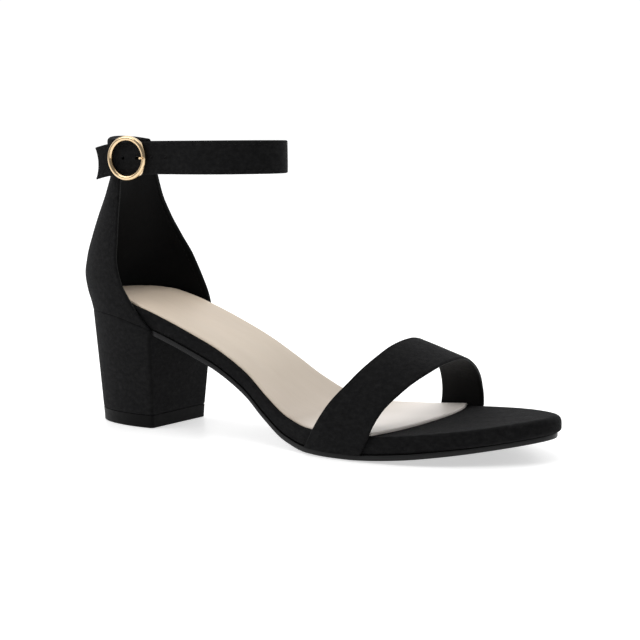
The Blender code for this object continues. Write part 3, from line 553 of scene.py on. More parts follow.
def strap_path():
    """Points (place, thickness, drop) of the strap: fold, inner layer, loop, outer layer, tail."""
    middle, forward, outward = buckle_frame_axes()
    bar, fold, tail, _ = stack_depths()
    loop = closed_catmull(loop_point_list(), 2)
    path = []
    for share in (1.0, 0.53, 0.2):
        path.append((middle - forward * FOLD_LENGTH * share + outward * fold, STRAP_SKIVED, 0.0))
    for step in range(9):
        angle = math.pi / 2 - math.pi * step / 8
        around = forward * math.cos(angle) * bar + outward * (bar + math.sin(angle) * bar)
        path.append((middle + around, STRAP_SKIVED, 0.0))
    for share in (0.2, 0.53):
        path.append((middle - forward * FOLD_LENGTH * share, STRAP_SKIVED, 0.0))
    start = min(range(len(loop)), key=lambda k: (loop[k] - middle).length)
    order = loop[start:] + loop[:start]
    for point in order:
        run = (point - middle).dot(forward)
        if point.y >= 0 or point.x < middle.x - LOOP_END * FOLD_LENGTH:
            path.append((point, STRAP_THICKNESS, 0.0))
        elif run > LOOP_START * LAYERS_PART:
            beside = middle + forward * run + outward * tail
            place = beside.lerp(point, smoothstep(LAYERS_PART, LAYERS_JOIN, run))
            path.append((place, STRAP_THICKNESS, 0.0))
    for step in range(-1, 9):
        share = max(step, 0) / 8
        run = -TAIL_LENGTH * share if step >= 0 else TAIL_LEAD
        place = middle + forward * run + outward * (tail - TAIL_CURL * share ** 2)
        path.append((place, STRAP_THICKNESS, TAIL_DROOP * share ** 2))
    return path


def in_buckle(along, depth, up):
    """World point of a place given in the buckle's own directions."""
    middle, forward, outward = buckle_frame_axes()
    p = middle + forward * along + outward * depth
    return Vector((p.x, p.y, STRAP_HEIGHT + up))


# INSOLE_DISH is a share of the insole's thickness, and TUNNEL_CREST of the tunnel's skin.
FOOTBED_LOWER_EDGE = 1.3 * MM
INSOLE_LIFT = 0.1 * MM
INSOLE_LOWER_EDGE = 0.2 * MM
INSOLE_UPPER_EDGE = 0.5 * MM
INSOLE_DISH = 0.35
OUTSOLE_LOWER_EDGE = 0.6 * MM
OUTSOLE_UPPER_EDGE = 0.3 * MM
OUTSOLE_REAR_TAPER = 2.0 * MM
HEEL_CORNER_RADIUS = 1.6 * MM
HEEL_COVER_EDGE = 0.3 * MM
LIFT_EDGE = 0.25 * MM
SEAM_GROOVE = 0.10 * MM
TUNNEL_FOOT = 0.6 * MM
TUNNEL_CREST = 1.6
BAND_MIDDLE_Y = 3.0 * MM
SLOT_DEPTH = 2.5 * MM
SLOT_EXTRA = 1.0 * MM
CUT_MARGIN = 2.0 * MM
STITCH_LENGTH = 1.5 * MM
STITCH_PITCH = 2.6 * MM
STITCH_RADIUS = 0.13 * MM
COUNTER_STITCH_SINK = 0.07 * MM
STITCH_MAX_THINNING = 0.05 * MM
TAIL_STITCH_END = 3.2 * MM
TAIL_STAND_OFF = 2.5 * MM
PRONG_CLEARANCE = 0.05 * MM
PRONG_DIP = 1.75 * MM
PRONG_START_DEG = -50
PRONG_SWEEP_DEG = 220

# Seams and turned edges: of the counter as shares of its run from one front end to the other,
# of the band as shares of its width, of the strap as shares of half its width or thickness
COUNTER_SEAM = 0.032
COUNTER_SEAM_WIDTH = 0.006
COUNTER_EDGE = 0.00875
BAND_SEAM = 0.075
BAND_SEAM_WIDTH = 0.016
BAND_EDGE = 0.035
STRAP_SEAM = 0.79
STRAP_SEAM_SEAT = 0.86

# The ring's section: how square it is, and the shares that shape the fine ridge on its face
RING_SQUARENESS = 0.62
RING_RIDGE = 0.10
RING_RIDGE_WIDTH = 0.35
RING_SET_BACK = 0.08

# Camera at the photograph's angle, from a fit to its edges
CAMERA_PLACE = (441.98 * MM, -600.39 * MM, 135.75 * MM)
CAMERA_AZIMUTH_DEG = 29.93
CAMERA_DOWN_DEG = 6.908
CAMERA_ROLL_DEG = -0.61
CAMERA_LENS = 89.6
CAMERA_SENSOR = 36.0

# Light
STUDIO_NEAR_LIGHT = 0.22
STUDIO_BACK_LIGHT = 1.05
STUDIO_FADE = (-0.6, 0.5)
LIGHTS = table(
    "name place aim size power",
    ("key", (-0.45, -0.75, 0.75), (0.06, 0, 0.05), (0.6, 0.6), 3.4),
    ("top", (0.05, -0.05, 1.0), (0.09, 0, 0.0), (0.9, 0.7), 2.8),
    ("rim", (0.55, 0.65, 0.45), (0.08, 0, 0.06), (0.5, 0.5), 0.8),
)
FLOOR_GLOW = 0.55
FLOOR_HALF_SIZE = 4.0
FLOOR_DROP = 0.2 * MM


def new_object(name, data):
    made = bpy.data.objects.new(name, data)
    bpy.context.scene.collection.objects.link(made)
    return made


def mesh_of(name, bm):
    mesh = bpy.data.meshes.new(name)
    bm.to_mesh(mesh)
    bm.free()
    return mesh


def add_object(name, bm, materials, sharp_deg=None, weld=1e-6):
    """Finish a bmesh as a smooth-shaded piece of the object."""
    bmesh.ops.remove_doubles(bm, verts=bm.verts, dist=weld)
    bm.normal_update()
    bmesh.ops.recalc_face_normals(bm, faces=bm.faces)
    mesh = mesh_of(name, bm)
    for material in materials:
        mesh.materials.append(material)
    mesh.shade_smooth()
    if sharp_deg:
        mesh.set_sharp_from_angle(angle=math.radians(sharp_deg))
    return new_object(name, mesh)


def settle(piece, node):
    """Ride on the one body and stand for a CAD node."""
    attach(piece, "root")
    if node:
        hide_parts(node)
    return piece


def bridge(bm, ring_a, ring_b, lined=()):
    """Join two rings by quads; those listed in lined take the second material."""
    count = len(ring_a)
    for k in range(count):
        after = (k + 1) % count
        face = bm.faces.new((ring_a[k], ring_a[after], ring_b[after], ring_b[k]))
        face.material_index = 1 if k in lined else 0


def join_rings(bm, rings, lined=()):
    for ring_a, ring_b in zip(rings, rings[1:]):
        bridge(bm, ring_a, ring_b, lined)


def closed_tube(bm, rings, lined=()):
    join_rings(bm, rings, lined)
    bm.faces.new(rings[0])
    bm.faces.new(rings[-1])


def fill_pairs(bm, ring, pairs, columns, height):
    """Cover a ring made by loop_of with quads that run from side to side."""
    count = len(pairs)
    front_extra = -1 if is_point(pairs[-1]) else columns - 1

    def across(k):
        if is_point(pairs[k]):
            return [ring[k]] * (columns + 1)
        if k == count - 1:
            return [ring[k + step] for step in range(columns + 1)]
        if k == 0:
            return [ring[-step] for step in range(columns + 1)]
        outer = ring[k]
        inner = ring[2 * count - 1 + front_extra - k]
        row = [outer]
        for step in range(1, columns):
            point = outer.co.lerp(inner.co, step / columns)
            point.z = height(point.x, point.y)
            row.append(bm.verts.new(point))
        row.append(inner)
        return row

    before = across(0)
    for k in range(1, count):
        after = across(k)
        for step in range(columns):
            corners = [before[step], after[step], after[step + 1], before[step + 1]]
            unique = []
            for vert in corners:
                if vert not in unique:
                    unique.append(vert)
            if len(unique) > 2:
                bm.faces.new(unique)
        before = after


def rounded_layers(bottom, top, low_radius, high_radius, steps, tuck=lambda p: 0.0):
    """Layers of a plate with a rounded lower and upper edge, as (inset, height) functions."""
    layers = []
    for k in range(steps + 1):
        angle = math.pi / 2 * k / steps
        inset = low_radius * (1 - math.sin(angle))
        rise = low_radius * (1 - math.cos(angle))
        layers.append((lambda p, i=inset: i + tuck(p), lambda x, y, r=rise: bottom(x, y) + r))
    for k in range(steps + 1):
        angle = math.pi / 2 * k / steps
        inset = high_radius * (1 - math.cos(angle))
        drop = high_radius * (1 - math.sin(angle))
        layers.append((lambda p, i=inset: i, lambda x, y, d=drop: top(x, y) - d))
    return layers


def build_plate(name, pairs, layers, materials, columns):
    bm = bmesh.new()
    loop = loop_of(pairs, columns)
    rings = []
    for inset, height in layers:
        points = inset_loop(loop, [inset(point) for point in loop])
        rings.append([bm.verts.new((p.x, p.y, height(p.x, p.y))) for p in points])
    join_rings(bm, rings)
    fill_pairs(bm, rings[0], pairs, columns, layers[0][1])
    fill_pairs(bm, rings[-1], pairs, columns, layers[-1][1])
    return add_object(name, bm, materials, 60)


def trough(x, y, place, length, width, depth):
    """A soft lengthwise trough at place, negative where it is deep."""
    across = (y - place[1]) / width
    along = (x - place[0]) / length
    return -depth * math.exp(-across * across - along * along)


# Soft creases pressed into the insole and the toe cover: x and y are shares of
# the footbed's length and of the ball's width, depth in shares of the insole's thickness.
INSOLE_CREASES = table(
    "x y length width depth",
    (0.78, -0.14, 0.08, 0.020, 0.16),
    (0.76, 0.04, 0.09, 0.024, 0.14),
    (0.77, 0.21, 0.07, 0.022, 0.16),
    (0.52, 0.10, 0.12, 0.040, 0.12),
    (0.38, -0.06, 0.10, 0.035, 0.10),
)
TOE_CREASES = table(
    "x y length width depth",
    (0.87, -0.10, 0.05, 0.018, 0.16),
    (0.88, 0.05, 0.06, 0.016, 0.18),
    (0.86, 0.20, 0.05, 0.020, 0.15),
    (0.84, 0.33, 0.04, 0.018, 0.14),
)


def creases(rows, x, y):
    total = 0.0
    for row in rows:
        place = (x_of(row["x"]), row["y"] * BALL_WIDTH)
        total += trough(x, y, place, row["length"] * FOOTBED_LENGTH,
                        row["width"] * BALL_WIDTH, row["depth"] * INSOLE_THICKNESS)
    return total


def make_footbed(suede):
    def bottom(x, y):
        return footbed_bottom(x)

    def top(x, y):
        return footbed_top(x) + creases(TOE_CREASES, x, y)

    steps = 6
    layers = rounded_layers(bottom, top, FOOTBED_LOWER_EDGE, 0.0, steps, seat_tuck)[:steps + 1]
    for k in range(steps + 1):
        angle = math.pi / 2 * k / steps
        layers.append((lambda p, a=angle: top_edge(p.x) * (1 - math.cos(a)),
                       lambda x, y, a=angle: top(x, y) - top_edge(x) * (1 - math.sin(a))))
    piece = build_plate("footbed_cover", footbed_pairs(6), layers, [suede], 22)
    return settle(piece, "footbed")


def insole_pairs(per_span):
    base = footbed_pairs(per_span)
    loop = loop_of(base, 1)
    loop = inset_loop(loop, [INSOLE_INSET] * len(loop))
    half = len(base)
    pairs = [(loop[0], loop[0])]
    for k in range(1, half - 1):
        pairs.append((loop[k], loop[len(loop) - k]))
    pairs.append((loop[half - 1], loop[half - 1]))
    outer_x = INSOLE_FRONT_X - INSOLE_FRONT_SLANT
    return trim_front(pairs, outer_x, INSOLE_FRONT_X, INSOLE_FRONT_CROWN, 14)


def insole_top(x, y):
    """The insole's upper face, dished a little for the heel."""
    along = along_of(x)
    middle = (inner_half(x) - outer_half(x)) / 2
    width = (inner_half(x) + outer_half(x)) / 2
    across = (y - middle) / max(width, 1 * MM)
    at_heel = 1 - smoothstep(0.2, 0.45, along)
    dish = -INSOLE_DISH * INSOLE_THICKNESS * math.exp(-(across / 0.6) ** 2) * at_heel
    return footbed_top(x) + FIT_GAP + INSOLE_THICKNESS + dish + creases(INSOLE_CREASES, x, y)


def make_insole(leather):
    def bottom(x, y):
        return footbed_top(x) + INSOLE_LIFT

    layers = rounded_layers(bottom, insole_top, INSOLE_LOWER_EDGE, INSOLE_UPPER_EDGE, 3)
    piece = build_plate("insole_sock", insole_pairs(5), layers, [leather], 26)
    return settle(piece, "insole")


def make_outsole(resin):
    rear_x = breast_x(1.0) + FIT_GAP

    def bottom(x, y):
        return outsole_top(x) - OUTSOLE_THICKNESS

    def top(x, y):
        return outsole_top(x) + FIT_GAP / 2

    def side(point):
        at_toe = smoothstep(0.80, 0.97, along_of(point.x))
        at_rear = 1 - smoothstep(0.0, OUTSOLE_REAR_TAPER, point.x - rear_x)
        return (-OUTSOLE_MARGIN * (1 - at_toe) + OUTSOLE_TOE_SET_BACK * at_toe) * (1 - at_rear)

    layers = []
    for inset, height in rounded_layers(bottom, top, OUTSOLE_LOWER_EDGE, OUTSOLE_UPPER_EDGE, 3):
        layers.append((lambda p, i=inset: i(p) + side(p), height))
    pairs = trim_rear(footbed_pairs(6), rear_x)
    piece = build_plate("outsole_sheet", pairs, layers, [resin], 12)
    return settle(piece, "outsole")


def heel_outline(level, inset):
    """Pairs of the heel's D-shaped plan at a level, from the back to the front face."""
    half_top, back_top, centre, _, _ = counter_section(0.0)
    half = HEEL_BASE_WIDTH / 2 + (half_top - HEEL_BASE_WIDTH / 2) * level - inset
    back = -HEEL_BASE_DEPTH / 2 + (back_top + HEEL_BASE_DEPTH / 2) * level + inset
    pairs = []
    steps = 26
    for step in range(steps + 1):
        angle = math.pi / 2 * step / steps
        x = centre - (centre - back) * math.cos(angle)
        pairs.append((Vector((x, -half * math.sin(angle))), Vector((x, half * math.sin(angle)))))
    front_outer = breast_x(level, -1) - inset
    front_inner = breast_x(level, 1) - inset
    for step in range(7):
        angle = math.pi / 2 * step / 6
        back_off = HEEL_CORNER_RADIUS * (1 - math.sin(angle))
        side = HEEL_CORNER_RADIUS * (1 - math.cos(angle))
        pairs.append((Vector((front_outer - back_off, side - half)),
                      Vector((front_inner - back_off, half - side))))
    return pairs


def make_block(name, floor, top, low_level, high_level, rounding, material, node):
    """One layer of the heel, between its floor and top, with a soft edge at both."""
    bm = bmesh.new()
    columns = 12
    rings = []
    shares = [(0.0, rounding), (0.004, 0.3 * rounding), (0.015, 0.0)]
    shares += [(k / 10, 0.0) for k in range(1, 10)]
    shares += [(0.985, 0.0), (0.996, 0.3 * rounding), (1.0, rounding)]
    for share, inset in shares:
        level = low_level + (high_level - low_level) * share
        ring = []
        for p in loop_of(heel_outline(level, inset), columns):
            low = floor(p.x)
            ring.append(bm.verts.new((p.x, p.y, low + (top(p.x) - low) * share)))
        rings.append(ring)
    join_rings(bm, rings)
    pairs = heel_outline(low_level, 0.0)
    fill_pairs(bm, rings[0], pairs, columns, lambda x, y: floor(x))
    fill_pairs(bm, rings[-1], pairs, columns, lambda x, y: top(x))
    return settle(add_object(name, bm, [material], 50), node)


def grid_faces(bm, rows, close=False, material_of=None):
    verts = [[bm.verts.new(p) for p in row] for row in rows]
    pairs = list(zip(verts, verts[1:]))
    if close:
        pairs.append((verts[-1], verts[0]))
    for index, (row_a, row_b) in enumerate(pairs):
        for k in range(len(row_a) - 1):
            face = bm.faces.new((row_a[k], row_a[k + 1], row_b[k + 1], row_b[k]))
            face.material_index = material_of(index, k) if material_of else 0
    return verts


def counter_point(level, share, inset):
    """Point on the counter's wall: share runs from the outer front end (0) to the inner one (1)."""
    p = on_curve(u_curve(*counter_section(level), inset), share)
    return Vector((p.x, p.y, counter_z(level, p.x)))


def make_counter(suede, lining):
    """The heel quarter: suede outside, lining inside, turned front edges, tunnel at the top."""
    bm = bmesh.new()
    section = counter_section(1.0)
    half_skin = STRAP_THICKNESS / 2 + FIT_GAP + TUNNEL_SKIN
    # stations crowd towards the two front edges so that the edges are round
    stations = [0.5 - 0.5 * math.cos(math.pi * k / CURVE_STEPS) for k in range(CURVE_STEPS + 1)]

    def edge_pinch(share):
        """How far the wall's faces close in near a front edge, as a share of half the wall."""
        near = min(share, 1 - share)
        return math.sqrt(1 - clamp(1 - near / COUNTER_EDGE) ** 2)

    levels = [k / 36 for k in range(37)]
    outer_rows = []
    inner_rows = []
    for level in levels:
        outside = []
        inside = []
        for share in stations:
            a = counter_point(level, share, 0.0)
            b = counter_point(level, share, COUNTER_WALL)
            mid = (a + b) / 2
            pinch = edge_pinch(share)
            off_seam = (min(share, 1 - share) - COUNTER_SEAM) / COUNTER_SEAM_WIDTH
            groove = SEAM_GROOVE * math.exp(-off_seam ** 2)
            inward = (b - a).normalized()
            outside.append(mid.lerp(a, pinch) + inward * groove)
            inside.append(mid.lerp(b, pinch) - inward * groove)
        outer_rows.append(outside)
        inner_rows.append(inside)

    def ring_at(offset, height, lean):
        plan = (*section[:3], section[3] - lean, section[4] - lean)
        curve = u_curve(*plan, COUNTER_WALL / 2 - offset)
        places = [on_curve(curve, share) for share in stations]
        return [Vector((p.x, p.y, height(share))) for p, share in zip(places, stations)]

    def crest(share):
        side = abs(2 * share - 1)
        return strap_high() + FIT_GAP + TUNNEL_SKIN * (1 + TUNNEL_CREST * (1 - side ** 2))

    low = strap_low() - FIT_GAP
    high = strap_high() + FIT_GAP
    shell = []
    rises = [0.05, 0.2, 0.4, 0.6, 0.8, 1.0]

    def add_side(offset, order):
        foot = low + TUNNEL_FOOT
        for rise in order:
            z = foot + (high - foot) * rise
            shell.append(ring_at(offset, lambda s, z=z: z, TUNNEL_LEAN * rise))

    add_side(half_skin, rises)
    for step in range(1, 8):
        angle = math.pi * step / 8
        offset = half_skin * math.cos(angle)
        shell.append(ring_at(offset, lambda s, a=angle: high + (crest(s) - high) * math.sin(a),
                             TUNNEL_LEAN))
    add_side(-half_skin, rises[::-1])
    rows = outer_rows + shell + inner_rows[::-1]
    split = len(outer_rows) + len(rises) + 5
    verts = grid_faces(bm, rows, close=True, material_of=lambda index, k: 0 if index < split else 1)
    cavity = STRAP_THICKNESS / 2 + FIT_GAP
    hollow = [ring_at(cavity, lambda s: low, 0.0), ring_at(cavity, lambda s: high, TUNNEL_LEAN),
              ring_at(-cavity, lambda s: high, TUNNEL_LEAN), ring_at(-cavity, lambda s: low, 0.0)]
    inner = grid_faces(bm, hollow, close=True, material_of=lambda index, k: 1)
    # the two front edges: the wall's faces meet there, and the tunnel stays open
    wall = len(levels)
    total = len(rows)
    for end in (0, CURVE_STEPS):
        outside = [row[end] for row in verts]
        inside = [row[end] for row in inner]
        for k in range(wall - 1):
            bm.faces.new((outside[k], outside[k + 1], outside[total - 2 - k], outside[total - 1 - k]))
        first = wall - 1
        last = total - wall
        upper = first + len(rises)
        lower = last - len(rises)
        bm.faces.new([outside[first], outside[first + 1], inside[0], inside[3],
                      outside[last - 1], outside[last]])
        bm.faces.new(outside[first + 1:upper + 1] + [inside[1], inside[0]])
        bm.faces.new(outside[upper:lower + 1] + [inside[2], inside[1]])
        bm.faces.new(outside[lower:last] + [inside[3], inside[2]])
    piece = add_object("counter_shell", bm, [suede, lining], 50)
    return settle(piece, "counter")


def band_surface(turn_run, place, depth):
    """Point of the toe band: turn_run below 0 or above 1 runs down beside the footbed."""
    def outer(run, at):
        if run < 0:
            return band_foot(-1, at, -run)
        if run > 1:
            return band_foot(1, at, run - 1)
        return band_point(run, at)

    p = outer(turn_run, place)
    step = 0.01
    along = outer(turn_run + step, place) - outer(turn_run - step, place)
    across = outer(turn_run, place + step) - outer(turn_run, place - step)
    inward = along.cross(across).normalized()
    centre = Vector((p.x, BAND_MIDDLE_Y, footbed_top(p.x)))
    if inward.dot(centre - p) < 0:
        inward = -inward
    return p + inward * depth


def make_band(suede, lining):
    """The toe band: one closed sleeve of suede and lining with round turned edges."""
    bm = bmesh.new()
    over = 96
    runs = [-1.0 + k / 10 for k in range(10)]
    runs += [k / over for k in range(over + 1)]
    runs += [1.1 + k / 10 for k in range(10)]
    across = 22
    rim = BAND_EDGE
    turned = [math.pi * k / 6 for k in range(1, 6)]
    places = [rim + (1 - 2 * rim) * k / across for k in range(across + 1)]
    # the section (place, depth): the face, the front edge, the lining and the rear edge
    section = []
    for place in places:
        off_seam = (min(place, 1 - place) - BAND_SEAM) / BAND_SEAM_WIDTH
        section.append((place, SEAM_GROOVE * math.exp(-off_seam ** 2)))
    for angle in turned:
        section.append((1 - rim + rim * math.sin(angle), BAND_WALL / 2 * (1 - math.cos(angle))))
    section += [(1 - place, BAND_WALL) for place in places]
    for angle in turned:
        section.append((rim - rim * math.sin(angle), BAND_WALL / 2 * (1 + math.cos(angle))))
    rings = [[bm.verts.new(band_surface(run, place, depth)) for place, depth in section]
             for run in runs]
    closed_tube(bm, rings, range(across + 3, 2 * across + 7))
    piece = add_object("toe_band", bm, [suede, lining], 60)
    return settle(piece, "vamp_band")


# One quarter of the strap's section, from its middle to its edge: up = share of half the width,
# outer and inner = shares of half the thickness. A shallow groove holds each stitch row.
STRAP_EDGE = table(
    "up outer inner",
    (0.55, 1.00, 1.00),
    (0.74, 0.97, 0.97),
    (STRAP_SEAM, 0.84, STRAP_SEAM_SEAT),
    (0.84, 0.97, 0.97),
    (0.92, 0.98, 0.98),
    (0.97, 0.78, 0.78),
    (1.00, 0.35, 0.35),
)
STRAP_CROWN = 1.02


def strap_section():
    """Points (up, out) round the strap's section, from its outer face over its upper edge."""
    outer = [(row["up"], row["outer"]) for row in STRAP_EDGE]
    inner = [(row["up"], -row["inner"]) for row in STRAP_EDGE]
    lower = [(-up, out) for up, out in inner + outer[::-1]]
    return [lower[-1], (0.0, STRAP_CROWN)] + outer + inner[::-1] + [(0.0, -1.0)] + lower[:-1]


def strap_stations():
    """The strap's path made finer: (place, thickness, drop, normal) at each station."""
    path = strap_path()
    per_span = 3
    places = catmull([place for place, _, _ in path], per_span)
    stations = []
    for k, place in enumerate(places):
        index = min(k // per_span, len(path) - 2)
        t = k / per_span - index
        _, thick_a, drop_a = path[index]
        _, thick_b, drop_b = path[index + 1]
        tangent = (places[min(k + 1, len(places) - 1)] - places[max(k - 1, 0)]).normalized()
        normal = Vector((tangent.y, -tangent.x))
        thick = thick_a + (thick_b - thick_a) * t
        drop = drop_a + (drop_b - drop_a) * t
        stations.append((place, thick, drop, normal))
    return stations


def place_cutter(bm):
    """Turn a cutter made in the buckle's own directions into the object's frame."""
    for vert in bm.verts:
        vert.co = in_buckle(*vert.co)
    bm.normal_update()
    bmesh.ops.recalc_face_normals(bm, faces=bm.faces)


def cutter_box(bm, along, depth, half_height):
    made = bmesh.ops.create_cube(bm, size=1.0)["verts"]
    size = (along[1] - along[0], depth[1] - depth[0], 2 * half_height)
    bmesh.ops.scale(bm, vec=size, verts=made)
    bmesh.ops.translate(bm, vec=((along[0] + along[1]) / 2, (depth[0] + depth[1]) / 2, 0), verts=made)


def cutter_rod(bm, along, depth, radius, segments, drop):
    made = bmesh.ops.create_cone(bm, cap_ends=True, segments=segments, radius1=radius,
                                 radius2=radius, depth=depth[1] - depth[0])["verts"]
    bmesh.ops.rotate(bm, cent=(0, 0, 0), matrix=Matrix.Rotation(math.pi / 2, 3, "X"), verts=made)
    bmesh.ops.translate(bm, vec=(along, (depth[0] + depth[1]) / 2, -drop), verts=made)


def cut_with(piece, fill):
    """Cut a piece with a mesh that fill adds to, and apply the cut."""
    bm = bmesh.new()
    fill(bm)
    place_cutter(bm)
    cutter = new_object("cutter", mesh_of("cutter", bm))
    cut = piece.modifiers.new("cut", "BOOLEAN")
    cut.operation = "DIFFERENCE"
    cut.solver = "EXACT"
    cut.object = cutter
    graph = bpy.context.evaluated_depsgraph_get()
    done = bpy.data.meshes.new_from_object(piece.evaluated_get(graph))
    piece.modifiers.clear()
    piece.data = done
    bpy.data.objects.remove(cutter)


def make_strap(suede):
    bm = bmesh.new()
    rings = []
    section = strap_section()
    for place, thick, drop, normal in strap_stations():
        ring = []
        for up, out in section:
            p = place + normal * out * thick / 2
            ring.append(bm.verts.new((p.x, p.y, STRAP_HEIGHT + up * STRAP_WIDTH / 2 - drop)))
        rings.append(ring)
    closed_tube(bm, rings)
    piece = add_object("ankle_strap_suede", bm, [suede], 50)
    _, fold, tail, _ = stack_depths()
    gap_mid = (fold + STRAP_SKIVED / 2 + tail - STRAP_THICKNESS / 2) / 2
    past_tail = tail + CUT_MARGIN
    slot_low = -BAR_DIAMETER / 2 - PRONG_DIAMETER - 3 * FIT_GAP
    slot_half = PRONG_DIAMETER / 2 + 2 * FIT_GAP
    cut_with(piece, lambda b: cutter_box(b, (slot_low, SLOT_EXTRA - slot_low), (-SLOT_DEPTH, gap_mid),
                                         slot_half))
    cut_with(piece, lambda b: cutter_rod(b, HOLE_OFFSET, (gap_mid, past_tail), HOLE_WIDTH / 2, 24, 0.0))
    for index in (-1, 1, 2):
        low = gap_mid if index < 0 else -tail
        cut_with(piece, lambda b: cutter_rod(b, HOLE_OFFSET + index * HOLE_PITCH, (low, past_tail),
                                             SPARE_HOLE_DIAMETER / 2, 20, 0.0))
    notch = -TAIL_LENGTH - TAIL_NOTCH_RADIUS + TAIL_NOTCH_DEPTH
    cut_with(piece, lambda b: cutter_rod(b, notch, (0.0, 2 * tail), TAIL_NOTCH_RADIUS, 96,
                                         TAIL_DROOP))
    return settle(piece, "ankle_strap")


def add_stitch(bm, place, along, out):
    """One thread stitch: a slim capsule that lies along a seam, half sunk in the surface."""
    side = along.cross(out).normalized()
    rings = []
    for share, size in ((-0.5, 0.35), (-0.38, 0.9), (0.0, 1.0), (0.38, 0.9), (0.5, 0.35)):
        ring = []
        for k in range(6):
            angle = 2 * math.pi * k / 6
            lift = (0.5 * math.cos(math.pi * share) - 0.2) * STITCH_RADIUS
            p = place + along * STITCH_LENGTH * share + out * lift
            p += (side * math.cos(angle) + out * math.sin(angle)) * STITCH_RADIUS * size
            ring.append(bm.verts.new(p))
        rings.append(ring)
    closed_tube(bm, rings)


def stitch_line(bm, points, outs, skip=lambda p: False):
    """Stitches along a polyline, with the outward direction at each of its points."""
    run = 0.0
    due = STITCH_PITCH / 2
    for k in range(len(points) - 1):
        step = (points[k + 1] - points[k]).length
        while due <= run + step and step > 0:
            t = (due - run) / step
            place = points[k].lerp(points[k + 1], t)
            if not skip(place):
                along = (points[k + 1] - points[k]).normalized()
                out = outs[k].lerp(outs[k + 1], t).normalized()
                add_stitch(bm, place, along, out)
            due += STITCH_PITCH
        run += step


def make_strap_stitches(thread):
    """Stitch rows along both edges of the strap, on both faces, short of the tail's notch."""
    bm = bmesh.new()
    middle, forward, _ = buckle_frame_axes()
    tail_end = middle - forward * (TAIL_LENGTH - TAIL_STITCH_END)

    def past_tail(p):
        return p.y < middle.y - TAIL_STAND_OFF and p.x < tail_end.x

    whole = [row for row in strap_stations() if row[1] >= STRAP_THICKNESS - STITCH_MAX_THINNING]
    for face in (1, -1):
        for level in (STRAP_SEAM, -STRAP_SEAM):
            points = []
            outs = []
            for place, thick, drop, normal in whole:
                p = place + normal * face * thick / 2 * STRAP_SEAM_SEAT
                points.append(Vector((p.x, p.y, STRAP_HEIGHT + level * STRAP_WIDTH / 2 - drop)))
                outs.append(Vector((normal.x, normal.y, 0)) * face)
            stitch_line(bm, points, outs, past_tail)
    piece = add_object("strap_stitches", bm, [thread], None, 1e-8)
    return settle(piece, None)


def make_counter_stitches(thread):
    """Stitch rows beside both front edges, on the suede and on the lining."""
    bm = bmesh.new()
    levels = [k / 60 for k in range(3, 58)]
    for share in (COUNTER_SEAM, 1 - COUNTER_SEAM):
        for inset, sign in ((COUNTER_STITCH_SINK, 1), (COUNTER_WALL - COUNTER_STITCH_SINK, -1)):
            points = []
            outs = []
            for level in levels:
                points.append(counter_point(level, share, inset))
                outside = counter_point(level, share, 0.0)
                inside = counter_point(level, share, COUNTER_WALL)
                outs.append((outside - inside).normalized() * sign)
            stitch_line(bm, points, outs)
    piece = add_object("counter_stitches", bm, [thread], None, 1e-8)
    return settle(piece, None)


def in_ring_section(turn):
    """The ring's section: a soft square with a fine ridge on its face."""
    c = math.cos(turn)
    s = math.sin(turn)
    out = math.copysign(abs(c) ** RING_SQUARENESS, c)
    depth = math.copysign(abs(s) ** RING_SQUARENESS, s)
    ridge = RING_RIDGE * math.exp(-(c / RING_RIDGE_WIDTH) ** 2) if s > 0 else 0.0
    return out * RING_WIDTH / 2, (depth - RING_SET_BACK + ridge) * RING_DEPTH / 2


def make_buckle(gold):
    bar, _, _, ring_depth = stack_depths()
    radius = RING_DIAMETER / 2 - RING_WIDTH / 2
    bm = bmesh.new()
    segments = 96
    around = 28
    rings = []
    for k in range(segments):
        angle = 2 * math.pi * k / segments
        ring = []
        for step in range(around):
            out, depth = in_ring_section(2 * math.pi * step / around)
            ring.append(bm.verts.new(in_buckle((radius + out) * math.cos(angle), ring_depth + depth,
                                               (radius + out) * math.sin(angle))))
        rings.append(ring)
    join_rings(bm, rings + [rings[0]])
    inner = radius - BAR_BEND
    steps = 10
    upper = [in_buckle(0, ring_depth, radius)]
    lower = [in_buckle(0, ring_depth, -radius)]
    for step in range(steps + 1):
        angle = math.pi / 2 * step / steps
        depth = bar + BAR_BEND * (1 - math.sin(angle))
        upper.append(in_buckle(0, depth, inner + BAR_BEND * math.cos(angle)))
        lower.append(in_buckle(0, depth, -inner - BAR_BEND * math.cos(angle)))
    sweep_wire(bm, upper + lower[::-1], lambda share: BAR_DIAMETER / 2, 16)
    return settle(add_object("buckle_ring", bm, [gold], None), "buckle_frame")


def sweep_wire(bm, points, radius, sides):
    """A round wire through points, with closed ends."""
    rings = []
    side = None
    for k, p in enumerate(points):
        before = points[max(k - 1, 0)]
        after = points[min(k + 1, len(points) - 1)]
        along = (after - before).normalized()
        if side is None:
            side = along.orthogonal().normalized()
        side = (side - along * side.dot(along)).normalized()
        other = along.cross(side)
        r = radius(k / (len(points) - 1))
        ring = []
        for step in range(sides):
            angle = 2 * math.pi * step / sides
            ring.append(bm.verts.new(p + (side * math.cos(angle) + other * math.sin(angle)) * r))
        rings.append(ring)
    closed_tube(bm, rings)


